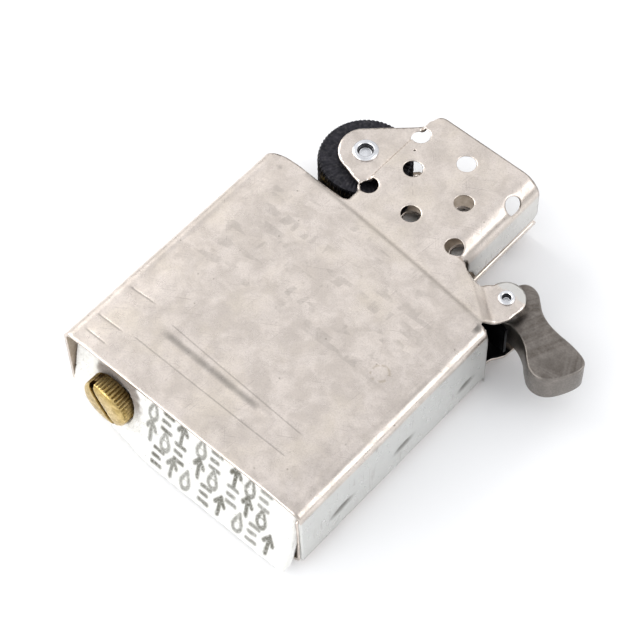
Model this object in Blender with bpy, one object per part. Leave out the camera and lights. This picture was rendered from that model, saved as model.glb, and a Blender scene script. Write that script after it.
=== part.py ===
"""Insert of a windproof flip-top pocket lighter, lying on its back.

Units in the constants are millimetres; the meshes are made in metres.
Frame: +Z is out of the front face, +Y runs from the felt pad to the chimney, +X is the cam side.
The origin is the middle of the flat back face, on the plane that the insert rests on.
"""

import math

import bmesh
import bpy
from mathutils import Matrix, Vector

MM = 0.001

# Driving dimensions of the can
WIDTH = 36.0
HEIGHT = 34.4
THICKNESS = 11.6
SHEET = 0.4
CORNER_RADIUS = 1.5
HALF_WIDTH = WIDTH / 2
SHOULDER = HEIGHT / 2
MIDDLE = THICKNESS / 2

# Chimney
CHIMNEY_LEFT = -6.2
CHIMNEY_RIGHT = 9.6
CHIMNEY_TOP = 34.2
CHIMNEY_FOOT = SHOULDER - 0.55
CHIMNEY_STEP = 0.35
CHIMNEY_BEND = 2.6
CHIMNEY_BACK_BEND = 3.6
CHIMNEY_LEFT_BEND = 0.9
CHIMNEY_FLANGE_EDGE = 4.7
AIR_HOLE_RADIUS = 1.18
AIR_HOLES = ((-5.5, 20.7), (0.9, 20.8), (-3.1, 25.9), (4.6, 26.0), (-5.6, 30.3), (1.2, 30.6))
BEND_HOLES = ((7.7, 20.6, 20.0), (8.9, 30.0, 45.0))

# Wheel and its ears
WHEEL_CENTRE = (-9.35, 24.6)
WHEEL_RADIUS = 5.8
WHEEL_GAP = 0.5
WHEEL_EAR_TOP = 32.3
WHEEL_EAR_FOOT = 20.5
WHEEL_THICKNESS = 7.4
WHEEL_TEETH = 44
TOOTH_DEPTH = 0.3
WHEEL_EAR_RADIUS = 3.25
WHEEL_EAR_DEPTH = 1.1
WHEEL_RIVET_BODY = 1.25
WHEEL_RIVET_BORE = 0.95
WHEEL_RIVET_FLANGE = 1.6

# Cam, its ears and its spring
CAM_CENTRE = (16.2, 19.7)
CAM_NOTCH_FOOT = 14.3
CAM_NOTCH_LEFT = 17.0
CAM_THICKNESS = 4.0
CAM_HEEL_RADIUS = 2.0
CAM_EAR_RADIUS = 2.25
CAM_EAR_DEPTH = 1.7
CAM_RIVET_BODY = 0.75
CAM_RIVET_BORE = 0.5
CAM_RIVET_FLANGE = 1.0
SPRING_STRIP = 0.3
SPRING_WIDTH = 4.6
SPRING_RIVET_X = 10.9

# Top plate
PLATE_TOP = SHOULDER - 0.9
PLATE_THICKNESS = 0.4
PLATE_GAP = 0.15
PLATE_RIGHT = 12.6

# Flint feed
TUBE_X = -10.35
TUBE_RADIUS = 2.1
TUBE_BORE = 1.5
TUBE_TOP = SHOULDER + 2.8
TUBE_CLEARANCE = 0.16
TUBE_FOOT = -16.0
FLINT_RADIUS = 1.3
FLINT_FOOT = 14.0
FLINT_TOP = 19.9
FLINT_CLEARANCE = 0.08
TIP_FOOT = 12.4
COIL_RADIUS = 1.0
WIRE_RADIUS = 0.2
COIL_PITCH = 1.15
SCREW_HEAD_RADIUS = 3.2
SCREW_HEAD_FACE = -19.5
SCREW_HEAD_BASE = -16.3
SCREW_SHANK_RADIUS = 1.35
SCREW_SHANK_END = -9.2
THREAD_PITCH = 0.7
SLOT_WIDTH = 0.8
SLOT_DEPTH = 1.0
SLOT_ANGLE = 58.0
KNURLS = 26
KNURL_DEPTH = 0.15

# Felt pad, its outer face leans from just inside the front rim to past the back rim
FELT_THICKNESS = 3.0
FELT_GAP = 0.2
FELT_SPLIT = -6.2
FELT_HINGE_Y = -19.8
FELT_END_GAP = 0.3
FELT_RAMP = 14.0
FELT_LEFT_FRONT = -15.2
FELT_LEFT_BACK = -17.7
FELT_RIGHT_FRONT = -16.7
FELT_RIGHT_BACK = -19.7

# Wick and packing
WICK_RADIUS = 1.3
WICK_X = 1.8
WICK_TIP = 27.0
PACKING_BALLS = (
    ((-3.3, 9.2), (4.5, 5.2)),
    ((11.3, 9.2), (4.8, 4.9)),
    ((-0.4, -0.6), (5.0, 4.0)),
    ((13.6, -2.4), (3.6, 5.2)),
    ((7.6, -9.7), (5.0, 3.3)),
)
PACKING_HALF_DEPTH = 5.0
LEFT_PACKING = ((-15.4, 0.5), (1.95, 12.5))

STEEL = (0.62, 0.58, 0.54)
BRASS = (0.62, 0.45, 0.18)


def clear_scene():
    """Remove every object that the scene starts with."""
    for item in list(bpy.data.objects):
        bpy.data.objects.remove(item, do_unlink=True)


def make_material(name, colour, roughness, metallic):
    """A Principled material."""
    material = bpy.data.materials.new(name)
    material.use_nodes = True
    shader = material.node_tree.nodes["Principled BSDF"]
    shader.inputs["Base Color"].default_value = (*colour, 1.0)
    shader.inputs["Roughness"].default_value = roughness
    shader.inputs["Metallic"].default_value = metallic
    material.diffuse_color = (*colour, 1.0)
    return material


def make_object(name, mesh_data, material=None, smooth_angle=35.0):
    """Turn a bmesh, in millimetres, into a linked object in metres."""
    bmesh.ops.scale(mesh_data, vec=(MM, MM, MM), verts=mesh_data.verts)
    bmesh.ops.recalc_face_normals(mesh_data, faces=mesh_data.faces)
    mesh = bpy.data.meshes.new(name)
    mesh_data.to_mesh(mesh)
    mesh_data.free()
    mesh.shade_smooth()
    mesh.set_sharp_from_angle(angle=math.radians(smooth_angle))
    item = bpy.data.objects.new(name, mesh)
    bpy.context.scene.collection.objects.link(item)
    if material is not None:
        mesh.materials.append(material)
    return item


def hang_on_axis(item, axis_x, axis_y, axis_z):
    """Move an object's origin onto its joint axis without moving its shape."""
    origin = Vector((axis_x, axis_y, axis_z)) * MM
    item.data.transform(Matrix.Translation(-origin))
    item.location = origin


def combine(target, tool, operation):
    """Boolean a helper solid into or out of the target."""
    tool.hide_render = True
    tool.display_type = "WIRE"
    modifier = target.modifiers.new(tool.name, "BOOLEAN")
    modifier.operation = operation
    modifier.solver = "EXACT"
    modifier.object = tool


def add_box(mesh_data, low, high):
    """A box between two corners."""
    made = bmesh.ops.create_cube(mesh_data, size=1.0)
    size = [high[i] - low[i] for i in range(3)]
    middle = [(high[i] + low[i]) / 2 for i in range(3)]
    bmesh.ops.scale(mesh_data, vec=size, verts=made["verts"])
    bmesh.ops.translate(mesh_data, vec=middle, verts=made["verts"])
    return made["verts"]


def helper_box(name, low, high):
    """A box used as a Boolean operand."""
    mesh_data = bmesh.new()
    add_box(mesh_data, low, high)
    return make_object(name, mesh_data)


def helper_cylinder(name, centre, radius, length, tilt=None, sides=20):
    """A cylinder along Z, optionally turned by a rotation matrix, used as a Boolean operand."""
    mesh_data = bmesh.new()
    bmesh.ops.create_cone(
        mesh_data, cap_ends=True, segments=sides, radius1=radius, radius2=radius, depth=length)
    if tilt is not None:
        bmesh.ops.transform(mesh_data, matrix=tilt, verts=mesh_data.verts)
    bmesh.ops.translate(mesh_data, vec=centre, verts=mesh_data.verts)
    return make_object(name, mesh_data)


def arc_points(centre, radius, start, end, steps):
    """Points on an arc, angles in degrees."""
    points = []
    for step in range(steps + 1):
        angle = math.radians(start + (end - start) * step / steps)
        points.append((centre[0] + radius * math.cos(angle), centre[1] + radius * math.sin(angle)))
    return points


def rounded_section(left, right, low, high, radii, steps=5):
    """Closed XZ outline; radii are for the corners right-low, right-high, left-high, left-low."""
    corners = (
        (right - radii[0], low + radii[0], radii[0], -90.0),
        (right - radii[1], high - radii[1], radii[1], 0.0),
        (left + radii[2], high - radii[2], radii[2], 90.0),
        (left + radii[3], low + radii[3], radii[3], 180.0),
    )
    outline = []
    for x, z, radius, start in corners:
        outline.extend(arc_points((x, z), radius, start, start + 90.0, steps))
    return outline


def add_sleeve(mesh_data, outer, inner, foot, top):
    """A tube along Y between an outer and an inner XZ outline with the same number of points."""
    rings = []
    for outline, y in ((outer, foot), (outer, top), (inner, top), (inner, foot)):
        rings.append([mesh_data.verts.new((x, y, z)) for x, z in outline])
    count = len(outer)
    for ring in range(4):
        following = (ring + 1) % 4
        for i in range(count):
            j = (i + 1) % count
            mesh_data.faces.new((rings[ring][i], rings[ring][j], rings[following][j], rings[following][i]))


def add_plate(mesh_data, outline, low, high):
    """An XY outline extruded from one height to another."""
    base = mesh_data.faces.new([mesh_data.verts.new((x, y, low)) for x, y in outline])
    grown = bmesh.ops.extrude_face_region(mesh_data, geom=[base])
    raised = [item for item in grown["geom"] if isinstance(item, bmesh.types.BMVert)]
    bmesh.ops.translate(mesh_data, vec=(0.0, 0.0, high - low), verts=raised)


def turned_mesh(profile, steps, place=None, tooth_depth=0.0):
    """Turn a closed profile about Z, then place it with a matrix.

    A profile point is (radius, along), with True after it where straight teeth are cut.
    """
    mesh_data = bmesh.new()
    rings = []
    for step in range(steps):
        angle = 2 * math.pi * step / steps
        ring = []
        for point in profile:
            toothed = len(point) == 3 and step % 2 == 1
            reach = point[0] - (tooth_depth if toothed else 0.0)
            ring.append(mesh_data.verts.new((reach * math.cos(angle), reach * math.sin(angle), point[1])))
        rings.append(ring)
    count = len(profile)
    for step in range(steps):
        here = rings[step]
        after = rings[(step + 1) % steps]
        for i in range(count):
            j = (i + 1) % count
            if profile[i][0] > 0.0 or profile[j][0] > 0.0:
                mesh_data.faces.new((here[i], after[i], after[j], here[j]))
    bmesh.ops.remove_doubles(mesh_data, verts=mesh_data.verts, dist=1e-5)
    if place is not None:
        bmesh.ops.transform(mesh_data, matrix=place, verts=mesh_data.verts)
    return mesh_data


def along_y(x, y, z):
    """Matrix that lays a part turned about Z along +Y, at a point."""
    return Matrix.Translation((x, y, z)) @ Matrix.Rotation(math.radians(-90.0), 4, "X")


def wheel_ear_outline():
    """Outline of one wheel ear, from the chimney's edge around the rivet and back."""
    outline = [(CHIMNEY_LEFT + 0.75, WHEEL_EAR_TOP)]
    outline.extend(arc_points(WHEEL_CENTRE, WHEEL_EAR_RADIUS, 134.0, 262.0, 16))
    outline.append((CHIMNEY_LEFT + 0.75, WHEEL_EAR_FOOT))
    return outline


def cam_ear_outline():
    """Outline of one cam ear, a tab that rises from the shoulder."""
    outline = [(13.1, 17.6), (13.1, 19.2)]
    outline.extend(arc_points(CAM_CENTRE, CAM_EAR_RADIUS, 165.0, -5.0, 14))
    outline.extend(((18.3, 17.6), (17.6, 16.6), (16.2, 16.0), (14.5, 16.9)))
    return outline


def cam_joggle_outline():
    """Outline of the diagonal step between the shoulder and a cam ear."""
    return ((13.0, 17.4), (13.0, 18.7), (13.8, 18.9), (17.7, 16.9), (17.2, 14.4), (16.3, 14.4))


def neck_outline():
    """Outline of the web between the chimney's foot and the cam ear."""
    return (
        (8.6, 16.8), (8.6, 20.0), (9.4, 20.0), (10.2, 19.4), (11.1, 18.9), (12.2, 18.7), (13.6, 18.7),
        (13.6, 16.8))


def front_and_back(depth, sheet=SHEET):
    """The two height ranges of a sheet layer that lies a given depth below each face."""
    return ((THICKNESS - depth - sheet, THICKNESS - depth), (depth, depth + sheet))


def build_shell(material):
    """One wrapped sheet: can, chimney, wheel ears and cam ears."""
    can = bmesh.new()
    outer = rounded_section(-HALF_WIDTH, HALF_WIDTH, 0.0, THICKNESS, [CORNER_RADIUS] * 4)
    inner = rounded_section(
        -HALF_WIDTH + SHEET, HALF_WIDTH - SHEET, SHEET, THICKNESS - SHEET, [CORNER_RADIUS - SHEET] * 4)
    add_sleeve(can, outer, inner, -SHOULDER, SHOULDER)
    shell = make_object("insert_shell", can, material)

    chimney = bmesh.new()
    bends = [CHIMNEY_BACK_BEND, CHIMNEY_BEND, CHIMNEY_LEFT_BEND, CHIMNEY_LEFT_BEND]
    outer = rounded_section(CHIMNEY_LEFT, CHIMNEY_RIGHT, CHIMNEY_STEP, THICKNESS - CHIMNEY_STEP, bends)
    inner = rounded_section(
        CHIMNEY_LEFT + SHEET, CHIMNEY_RIGHT - SHEET, CHIMNEY_STEP + SHEET,
        THICKNESS - CHIMNEY_STEP - SHEET, [bend - SHEET for bend in bends])
    add_sleeve(chimney, outer, inner, CHIMNEY_FOOT, CHIMNEY_TOP)
    combine(shell, make_object("chimney_sleeve", chimney), "UNION")

    for side, (low, high) in zip(("front", "back"), front_and_back(0.0, CHIMNEY_STEP + SHEET)):
        neck = helper_box(
            "chimney_neck_" + side, (CHIMNEY_LEFT + 1.2, CHIMNEY_FOOT, low),
            (CHIMNEY_RIGHT - 1.9, SHOULDER + 0.25, high))
        combine(shell, neck, "UNION")

    half_gap = WHEEL_THICKNESS / 2 + WHEEL_GAP
    window = helper_box(
        "wheel_window", (CHIMNEY_LEFT - WHEEL_GAP, SHOULDER + WHEEL_GAP, MIDDLE - half_gap),
        (CHIMNEY_LEFT + 0.85, CHIMNEY_TOP + WHEEL_GAP, MIDDLE + half_gap))
    combine(shell, window, "DIFFERENCE")
    slit = helper_box(
        "chimney_slit", (CHIMNEY_RIGHT - 1.5, CHIMNEY_FOOT - 0.3, CHIMNEY_FLANGE_EDGE - 0.5),
        (CHIMNEY_RIGHT + 0.5, CHIMNEY_TOP + 0.5, CHIMNEY_FLANGE_EDGE))
    combine(shell, slit, "DIFFERENCE")

    for side, (low, high) in zip(("front", "back"), front_and_back(WHEEL_EAR_DEPTH)):
        ear = bmesh.new()
        add_plate(ear, wheel_ear_outline(), low, high)
        combine(shell, make_object("wheel_ear_" + side, ear), "UNION")
    for side, (low, high) in zip(("front", "back"), front_and_back(CHIMNEY_STEP, 1.15)):
        joggle = helper_box(
            "wheel_joggle_" + side, (CHIMNEY_LEFT + 0.2, WHEEL_EAR_FOOT + 0.05, low),
            (CHIMNEY_LEFT + 0.7, WHEEL_EAR_TOP - 0.1, high))
        combine(shell, joggle, "UNION")

    for low, high in front_and_back(-0.5, CORNER_RADIUS + 0.6):
        side = "front" if low > MIDDLE else "back"
        corner = helper_box(
            "corner_notch_" + side, (CAM_NOTCH_LEFT, CAM_NOTCH_FOOT, low),
            (HALF_WIDTH + 1, SHOULDER + 1, high))
        combine(shell, corner, "DIFFERENCE")
    notch = helper_box(
        "side_notch", (HALF_WIDTH - 2 * SHEET, CAM_NOTCH_FOOT, SHEET),
        (HALF_WIDTH + 1, SHOULDER + 1, THICKNESS - SHEET))
    combine(shell, notch, "DIFFERENCE")
    joggle_depth = CHIMNEY_STEP / 3
    tabs = (
        ("neck", neck_outline(), CHIMNEY_STEP / 2, SHEET + CHIMNEY_STEP / 2),
        ("cam_joggle", cam_joggle_outline(), joggle_depth, CAM_EAR_DEPTH + SHEET - joggle_depth - 0.05),
        ("cam_ear", cam_ear_outline(), CAM_EAR_DEPTH, SHEET))
    for name, outline, depth, sheet in tabs:
        for side, (low, high) in zip(("front", "back"), front_and_back(depth, sheet)):
            tab = bmesh.new()
            add_plate(tab, outline, low, high)
            combine(shell, make_object("%s_%s" % (name, side), tab), "UNION")

    for number, (x, y) in enumerate(AIR_HOLES):
        hole = helper_cylinder("air_hole_%d" % number, (x, y, MIDDLE), AIR_HOLE_RADIUS, THICKNESS + 2)
        combine(shell, hole, "DIFFERENCE")
    for number, (x, y, lean) in enumerate(BEND_HOLES):
        for side, sign in (("front", 1), ("back", -1)):
            tilt = Matrix.Rotation(math.radians(sign * lean), 4, "Y")
            height = MIDDLE + sign * (MIDDLE - CHIMNEY_STEP - 0.7)
            name = "bend_hole_%s_%d" % (side, number)
            hole = helper_cylinder(name, (x, y, height), AIR_HOLE_RADIUS, 3.0, tilt)
            combine(shell, hole, "DIFFERENCE")
    for name, centre, radius in (
            ("wheel_rivet_hole", WHEEL_CENTRE, WHEEL_RIVET_BODY + 0.1),
            ("cam_rivet_hole", CAM_CENTRE, CAM_RIVET_BODY + 0.1)):
        hole = helper_cylinder(name, (*centre, MIDDLE), radius, THICKNESS + 2)
        combine(shell, hole, "DIFFERENCE")
    return shell


def build_top_plate(material):
    """Plate that closes the can as far as the leaf spring, with holes for the tube, wick and rivet."""
    left = -HALF_WIDTH + SHEET + PLATE_GAP
    depth = SHEET + PLATE_GAP
    outline = rounded_section(left, PLATE_RIGHT, depth, THICKNESS - depth, [0.3, 0.3, 1.0, 1.0], 3)
    mesh_data = bmesh.new()
    base = mesh_data.faces.new([mesh_data.verts.new((x, PLATE_TOP - PLATE_THICKNESS, z)) for x, z in outline])
    grown = bmesh.ops.extrude_face_region(mesh_data, geom=[base])
    raised = [item for item in grown["geom"] if isinstance(item, bmesh.types.BMVert)]
    bmesh.ops.translate(mesh_data, vec=(0.0, PLATE_THICKNESS, 0.0), verts=raised)
    plate = make_object("top_plate", mesh_data, material)

    upright = Matrix.Rotation(math.radians(90.0), 4, "X")
    for name, x, radius in (
            ("tube_hole", TUBE_X, TUBE_RADIUS + 0.1),
            ("wick_hole", WICK_X, WICK_RADIUS + 0.2),
            ("spring_rivet_hole", SPRING_RIVET_X, 0.65)):
        hole = helper_cylinder(name, (x, PLATE_TOP, MIDDLE), radius, 3.0, upright)
        combine(plate, hole, "DIFFERENCE")
    return plate


def build_wheel(material):
    """Flint wheel: a toothed disc with a bore and a shallow dish on each face."""
    half = WHEEL_THICKNESS / 2
    bore = WHEEL_RIVET_BODY + 0.1
    crest = WHEEL_RADIUS - TOOTH_DEPTH - 0.1
    dish = WHEEL_RADIUS - 0.9
    levels = (
        (bore, 0.3 - half), (dish - 0.1, 0.3 - half), (dish + 0.1, -half), (crest, -half),
        (WHEEL_RADIUS, 0.3 - half, True), (WHEEL_RADIUS, half - 0.3, True),
        (crest, half), (dish + 0.1, half), (dish - 0.1, half - 0.3), (bore, half - 0.3))
    mesh_data = turned_mesh(levels, WHEEL_TEETH * 2, tooth_depth=TOOTH_DEPTH)
    wheel = make_object("flint_wheel", mesh_data, material, 20.0)
    wheel.location = Vector((*WHEEL_CENTRE, MIDDLE)) * MM
    return wheel


def build_tubular_rivet(name, centre, body, bore, flange, ear_depth, material):
    """Hollow rivet with a rolled flange over each ear."""
    seat = ear_depth - 0.05
    rim = 0.28
    low = seat - rim
    high = THICKNESS - low
    profile = (
        (bore, low + 0.12), (bore + 0.12, low), (flange - 0.12, low), (flange, low + 0.12), (flange, seat),
        (body, seat), (body, THICKNESS - seat), (flange, THICKNESS - seat), (flange, high - 0.12),
        (flange - 0.12, high), (bore + 0.12, high), (bore, high - 0.12))
    place = Matrix.Translation((*centre, 0.0))
    return make_object(name, turned_mesh(profile, 28, place), material)


def cam_outline():
    """Outline of the cam lever in its open position, anticlockwise from the heel."""
    x, y = CAM_CENTRE
    outline = arc_points(CAM_CENTRE, CAM_HEEL_RADIUS, 135.0, 300.0, 14)
    outline.extend((
        (x + 1.9, y - 1.4), (x + 3.4, y - 1.7), (x + 4.8, y - 2.5), (x + 6.0, y - 3.7), (x + 7.0, y - 4.5),
        (x + 8.1, y - 4.8), (x + 9.3, y - 4.5), (x + 10.3, y - 3.6), (x + 11.2, y - 2.0), (x + 11.6, y - 0.7),
        (x + 11.4, y + 0.2), (x + 10.4, y + 0.8), (x + 8.6, y + 1.2), (x + 6.6, y + 1.4), (x + 5.0, y + 1.7),
        (x + 3.6, y + 2.3), (x + 2.5, y + 3.3), (x + 1.7, y + 4.1), (x + 0.7, y + 4.4), (x - 0.3, y + 4.2),
        (x - 1.0, y + 3.4)))
    return outline


def build_cam(material):
    """Cam lever that holds the lid open or shut."""
    mesh_data = bmesh.new()
    add_plate(mesh_data, cam_outline(), MIDDLE - CAM_THICKNESS / 2, MIDDLE + CAM_THICKNESS / 2)
    cam = make_object("cam_lever", mesh_data, material)
    bore = helper_cylinder("cam_bore", (*CAM_CENTRE, MIDDLE), CAM_RIVET_BODY + 0.1, THICKNESS)
    hang_on_axis(cam, *CAM_CENTRE, MIDDLE)
    combine(cam, bore, "DIFFERENCE")
    return cam


def strip_outline(path, thickness):
    """Closed outline of a strip of even thickness along a polyline."""
    above = []
    below = []
    for i, point in enumerate(path):
        before = path[max(i - 1, 0)]
        after = path[min(i + 1, len(path) - 1)]
        run = Vector((after[0] - before[0], after[1] - before[1])).normalized()
        side = Vector((-run.y, run.x)) * thickness / 2
        above.append((point[0] + side.x, point[1] + side.y))
        below.append((point[0] - side.x, point[1] - side.y))
    return above + below[::-1]


def build_cam_spring(material):
    """Leaf spring under the top plate; its tip comes up through the slot to bear on the cam's heel."""
    tip = CAM_CENTRE[1] - CAM_HEEL_RADIUS - 0.15 - SPRING_STRIP / 2
    root = PLATE_TOP - PLATE_THICKNESS - 0.45
    path = (
        (SPRING_RIVET_X - 1.4, root), (12.2, root), (12.8, root + 0.15), (14.1, tip - 0.3),
        (14.7, tip - 0.05), (15.3, tip), (18.0, tip), (18.3, tip - 0.12))
    half = SPRING_WIDTH / 2
    mesh_data = bmesh.new()
    add_plate(mesh_data, strip_outline(path, SPRING_STRIP), MIDDLE - half, MIDDLE + half)
    spring = make_object("cam_spring", mesh_data, material)
    upright = Matrix.Rotation(math.radians(90.0), 4, "X")
    hole = helper_cylinder("cam_spring_hole", (SPRING_RIVET_X, root, MIDDLE), 0.75, 2.0, upright)
    hang_on_axis(spring, SPRING_RIVET_X, root, MIDDLE)
    combine(spring, hole, "DIFFERENCE")
    return spring


def build_cam_spring_rivet(material):
    """Solid rivet that fixes the leaf spring to the top plate."""
    under = PLATE_TOP - PLATE_THICKNESS - 0.75
    profile = (
        (0.0, under - 0.45), (0.7, under - 0.4), (1.0, under - 0.15), (1.0, under), (0.55, under),
        (0.55, PLATE_TOP + 0.05), (1.0, PLATE_TOP + 0.05), (1.0, PLATE_TOP + 0.2), (0.7, PLATE_TOP + 0.45),
        (0.0, PLATE_TOP + 0.5))
    return make_object(
        "cam_spring_rivet", turned_mesh(profile, 20, along_y(SPRING_RIVET_X, 0.0, MIDDLE)), material)


def build_flint_tube(material):
    """Brass tube from the felt to the wheel, its top cut to the wheel's curve."""
    profile = (
        (TUBE_BORE, TUBE_FOOT), (TUBE_RADIUS, TUBE_FOOT), (TUBE_RADIUS, TUBE_TOP), (TUBE_BORE, TUBE_TOP))
    tube = make_object("flint_tube", turned_mesh(profile, 32, along_y(TUBE_X, 0.0, MIDDLE)), material)
    radius = WHEEL_RADIUS + TUBE_CLEARANCE
    cut = helper_cylinder("tube_wheel_cut", (*WHEEL_CENTRE, MIDDLE), radius, THICKNESS, sides=96)
    combine(tube, cut, "DIFFERENCE")
    return tube


def build_flint(material):
    """Flint rod, its top worn to the wheel's curve."""
    profile = ((0.0, FLINT_FOOT), (FLINT_RADIUS, FLINT_FOOT), (FLINT_RADIUS, FLINT_TOP), (0.0, FLINT_TOP))
    flint = make_object("flint", turned_mesh(profile, 20, along_y(TUBE_X, 0.0, MIDDLE)), material)
    radius = WHEEL_RADIUS + FLINT_CLEARANCE
    worn = helper_cylinder("wheel_wear", (*WHEEL_CENTRE, MIDDLE), radius, THICKNESS / 2, sides=96)
    combine(flint, worn, "DIFFERENCE")
    return flint


def build_spring_tip(material):
    """Small plunger between the spring and the flint, with a stem inside the coil."""
    profile = (
        (0.0, TIP_FOOT - 1.2), (0.45, TIP_FOOT - 1.2), (0.55, TIP_FOOT - 1.0), (0.55, TIP_FOOT),
        (FLINT_RADIUS, TIP_FOOT), (FLINT_RADIUS, FLINT_FOOT - 0.25), (FLINT_RADIUS - 0.2, FLINT_FOOT - 0.05),
        (0.0, FLINT_FOOT - 0.05))
    return make_object("spring_tip", turned_mesh(profile, 20, along_y(TUBE_X, 0.0, MIDDLE)), material)


def build_flint_spring(material):
    """Coil spring from the screw's shank to the plunger."""
    low = SCREW_SHANK_END + WIRE_RADIUS + 0.05
    high = TIP_FOOT - WIRE_RADIUS - 0.05
    turns = round((high - low) / COIL_PITCH)
    per_turn = 12
    sides = 6
    rise = high - low
    mesh_data = bmesh.new()
    rings = []
    for step in range(turns * per_turn + 1):
        share = step / (turns * per_turn)
        angle = 2 * math.pi * turns * share
        outward = Vector((math.cos(angle), 0.0, math.sin(angle)))
        centre = Vector((TUBE_X, low + rise * share, MIDDLE)) + outward * COIL_RADIUS
        ring = []
        for side in range(sides):
            around = 2 * math.pi * side / sides
            offset = (outward * math.cos(around) + Vector((0.0, 1.0, 0.0)) * math.sin(around)) * WIRE_RADIUS
            ring.append(mesh_data.verts.new(centre + offset))
        rings.append(ring)
    for here, after in zip(rings, rings[1:]):
        for i in range(sides):
            j = (i + 1) % sides
            mesh_data.faces.new((here[i], here[j], after[j], after[i]))
    mesh_data.faces.new(rings[0])
    mesh_data.faces.new(rings[-1])
    return make_object("flint_spring", mesh_data, material, 60.0)


def screw_levels():
    """Closed profile of the flint screw: knurled head, and a shank with ring threads."""
    face = SCREW_HEAD_FACE
    base = SCREW_HEAD_BASE
    root = SCREW_SHANK_RADIUS - 0.2
    levels = [
        (0.0, face), (SCREW_HEAD_RADIUS - 0.5, face), (SCREW_HEAD_RADIUS - 0.1, face + 0.3),
        (SCREW_HEAD_RADIUS, face + 0.45, True), (SCREW_HEAD_RADIUS, base - 0.1, True),
        (SCREW_HEAD_RADIUS - 0.3, base), (root, base)]
    along = base + 0.6
    while along + THREAD_PITCH < SCREW_SHANK_END - 0.3:
        levels.append((root, along))
        levels.append((SCREW_SHANK_RADIUS, along + THREAD_PITCH / 2))
        along += THREAD_PITCH
    levels.append((root, along))
    levels.append((root - 0.15, SCREW_SHANK_END))
    levels.append((0.0, SCREW_SHANK_END))
    return levels


def build_screw(material):
    """Slotted, knurled flint screw."""
    mesh_data = turned_mesh(screw_levels(), KNURLS * 2, along_y(0.0, 0.0, 0.0), KNURL_DEPTH)
    screw = make_object("flint_screw", mesh_data, material, 30.0)
    screw.location = Vector((TUBE_X, 0.0, MIDDLE)) * MM
    slot = bmesh.new()
    reach = SCREW_HEAD_RADIUS + 1.0
    add_box(
        slot, (-reach, SCREW_HEAD_FACE - 1.0, -SLOT_WIDTH / 2),
        (reach, SCREW_HEAD_FACE + SLOT_DEPTH, SLOT_WIDTH / 2))
    turn = Matrix.Rotation(math.radians(SLOT_ANGLE), 4, "Y")
    bmesh.ops.transform(slot, matrix=Matrix.Translation((TUBE_X, 0.0, MIDDLE)) @ turn, verts=slot.verts)
    combine(screw, make_object("screw_slot", slot), "DIFFERENCE")
    return screw


def felt_face(x, front):
    """Y of the felt's outer face at an X, at the front edge or at the back edge."""
    ends = (FELT_LEFT_FRONT, FELT_RIGHT_FRONT) if front else (FELT_LEFT_BACK, FELT_RIGHT_BACK)
    share = min((x + HALF_WIDTH) / FELT_RAMP, 1.0)
    return ends[0] + (ends[1] - ends[0]) * share


def add_felt_block(mesh_data, sections):
    """Loft the felt through (x, inner trim, inset) sections; each one leans from front to back."""
    rings = []
    for x, trim, inset in sections:
        low = SHEET + FELT_GAP + inset
        high = THICKNESS - low
        back = felt_face(x, False)
        front = felt_face(x, True)
        corners = (
            (back, low), (front, high), (front + FELT_THICKNESS - trim, high),
            (back + FELT_THICKNESS - trim, low))
        rings.append([mesh_data.verts.new((x, y, z)) for y, z in corners])
    for here, after in zip(rings, rings[1:]):
        for i in range(4):
            j = (i + 1) % 4
            mesh_data.faces.new((here[i], here[j], after[j], after[i]))
    mesh_data.faces.new(rings[0])
    mesh_data.faces.new(rings[-1])
    bmesh.ops.triangulate(mesh_data, faces=mesh_data.faces)


def build_felt_anchor(material):
    """The end of the felt pad that the screw holds, with a stepped hole for tube and screw head."""
    mesh_data = bmesh.new()
    left = -HALF_WIDTH + SHEET + FELT_GAP
    sections = (
        (left, 0.0, 0.6), (left + 0.6, 0.0, 0.0), (TUBE_X, 0.0, 0.0), (FELT_SPLIT - FELT_GAP / 2, 0.0, 0.0))
    add_felt_block(mesh_data, sections)
    anchor = make_object("felt_anchor", mesh_data, material)
    upright = Matrix.Rotation(math.radians(90.0), 4, "X")
    seat = SCREW_HEAD_BASE + 0.1
    for name, low, high, radius in (
            ("felt_tube_hole", seat - 0.2, -10.0, TUBE_RADIUS + 0.15),
            ("felt_head_hole", -24.0, seat, SCREW_HEAD_RADIUS + 0.25)):
        centre = (TUBE_X, (low + high) / 2, MIDDLE)
        hole = helper_cylinder(name, centre, radius, high - low, upright, 28)
        combine(anchor, hole, "DIFFERENCE")
    return anchor


def build_felt_flap(material):
    """The end of the felt pad that lifts for filling; its far inner edge is trimmed to clear the can."""
    mesh_data = bmesh.new()
    right = HALF_WIDTH - SHEET - FELT_END_GAP
    near = FELT_SPLIT + FELT_GAP / 2
    sections = (
        (near, 0.0, 0.0), (FELT_RAMP - HALF_WIDTH, 0.0, 0.0), (right - 0.7, 0.0, 0.0), (right, 1.6, 0.6))
    add_felt_block(mesh_data, sections)
    flap = make_object("felt_flap", mesh_data, material)
    hang_on_axis(flap, FELT_SPLIT, FELT_HINGE_Y, MIDDLE)
    return flap


def build_wick(material):
    """Round wick from the chimney down between the packing balls."""
    route = (
        (WICK_X, WICK_TIP), (WICK_X, 20.0), (WICK_X, 14.5), (2.9, 10.5), (5.2, 6.0), (7.3, 2.5), (7.5, -1.0),
        (5.2, -4.4), (1.2, -6.6), (-2.4, -9.2), (-3.0, -11.0))
    curve = bpy.data.curves.new("wick", "CURVE")
    curve.dimensions = "3D"
    curve.bevel_depth = WICK_RADIUS * MM
    curve.bevel_resolution = 3
    curve.use_fill_caps = True
    spline = curve.splines.new("POLY")
    spline.points.add(len(route) - 1)
    for point, (x, y) in zip(spline.points, route):
        point.co = (x * MM, y * MM, MIDDLE * MM, 1.0)
    curve.materials.append(material)
    wick = bpy.data.objects.new("wick", curve)
    bpy.context.scene.collection.objects.link(wick)
    return wick


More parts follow.
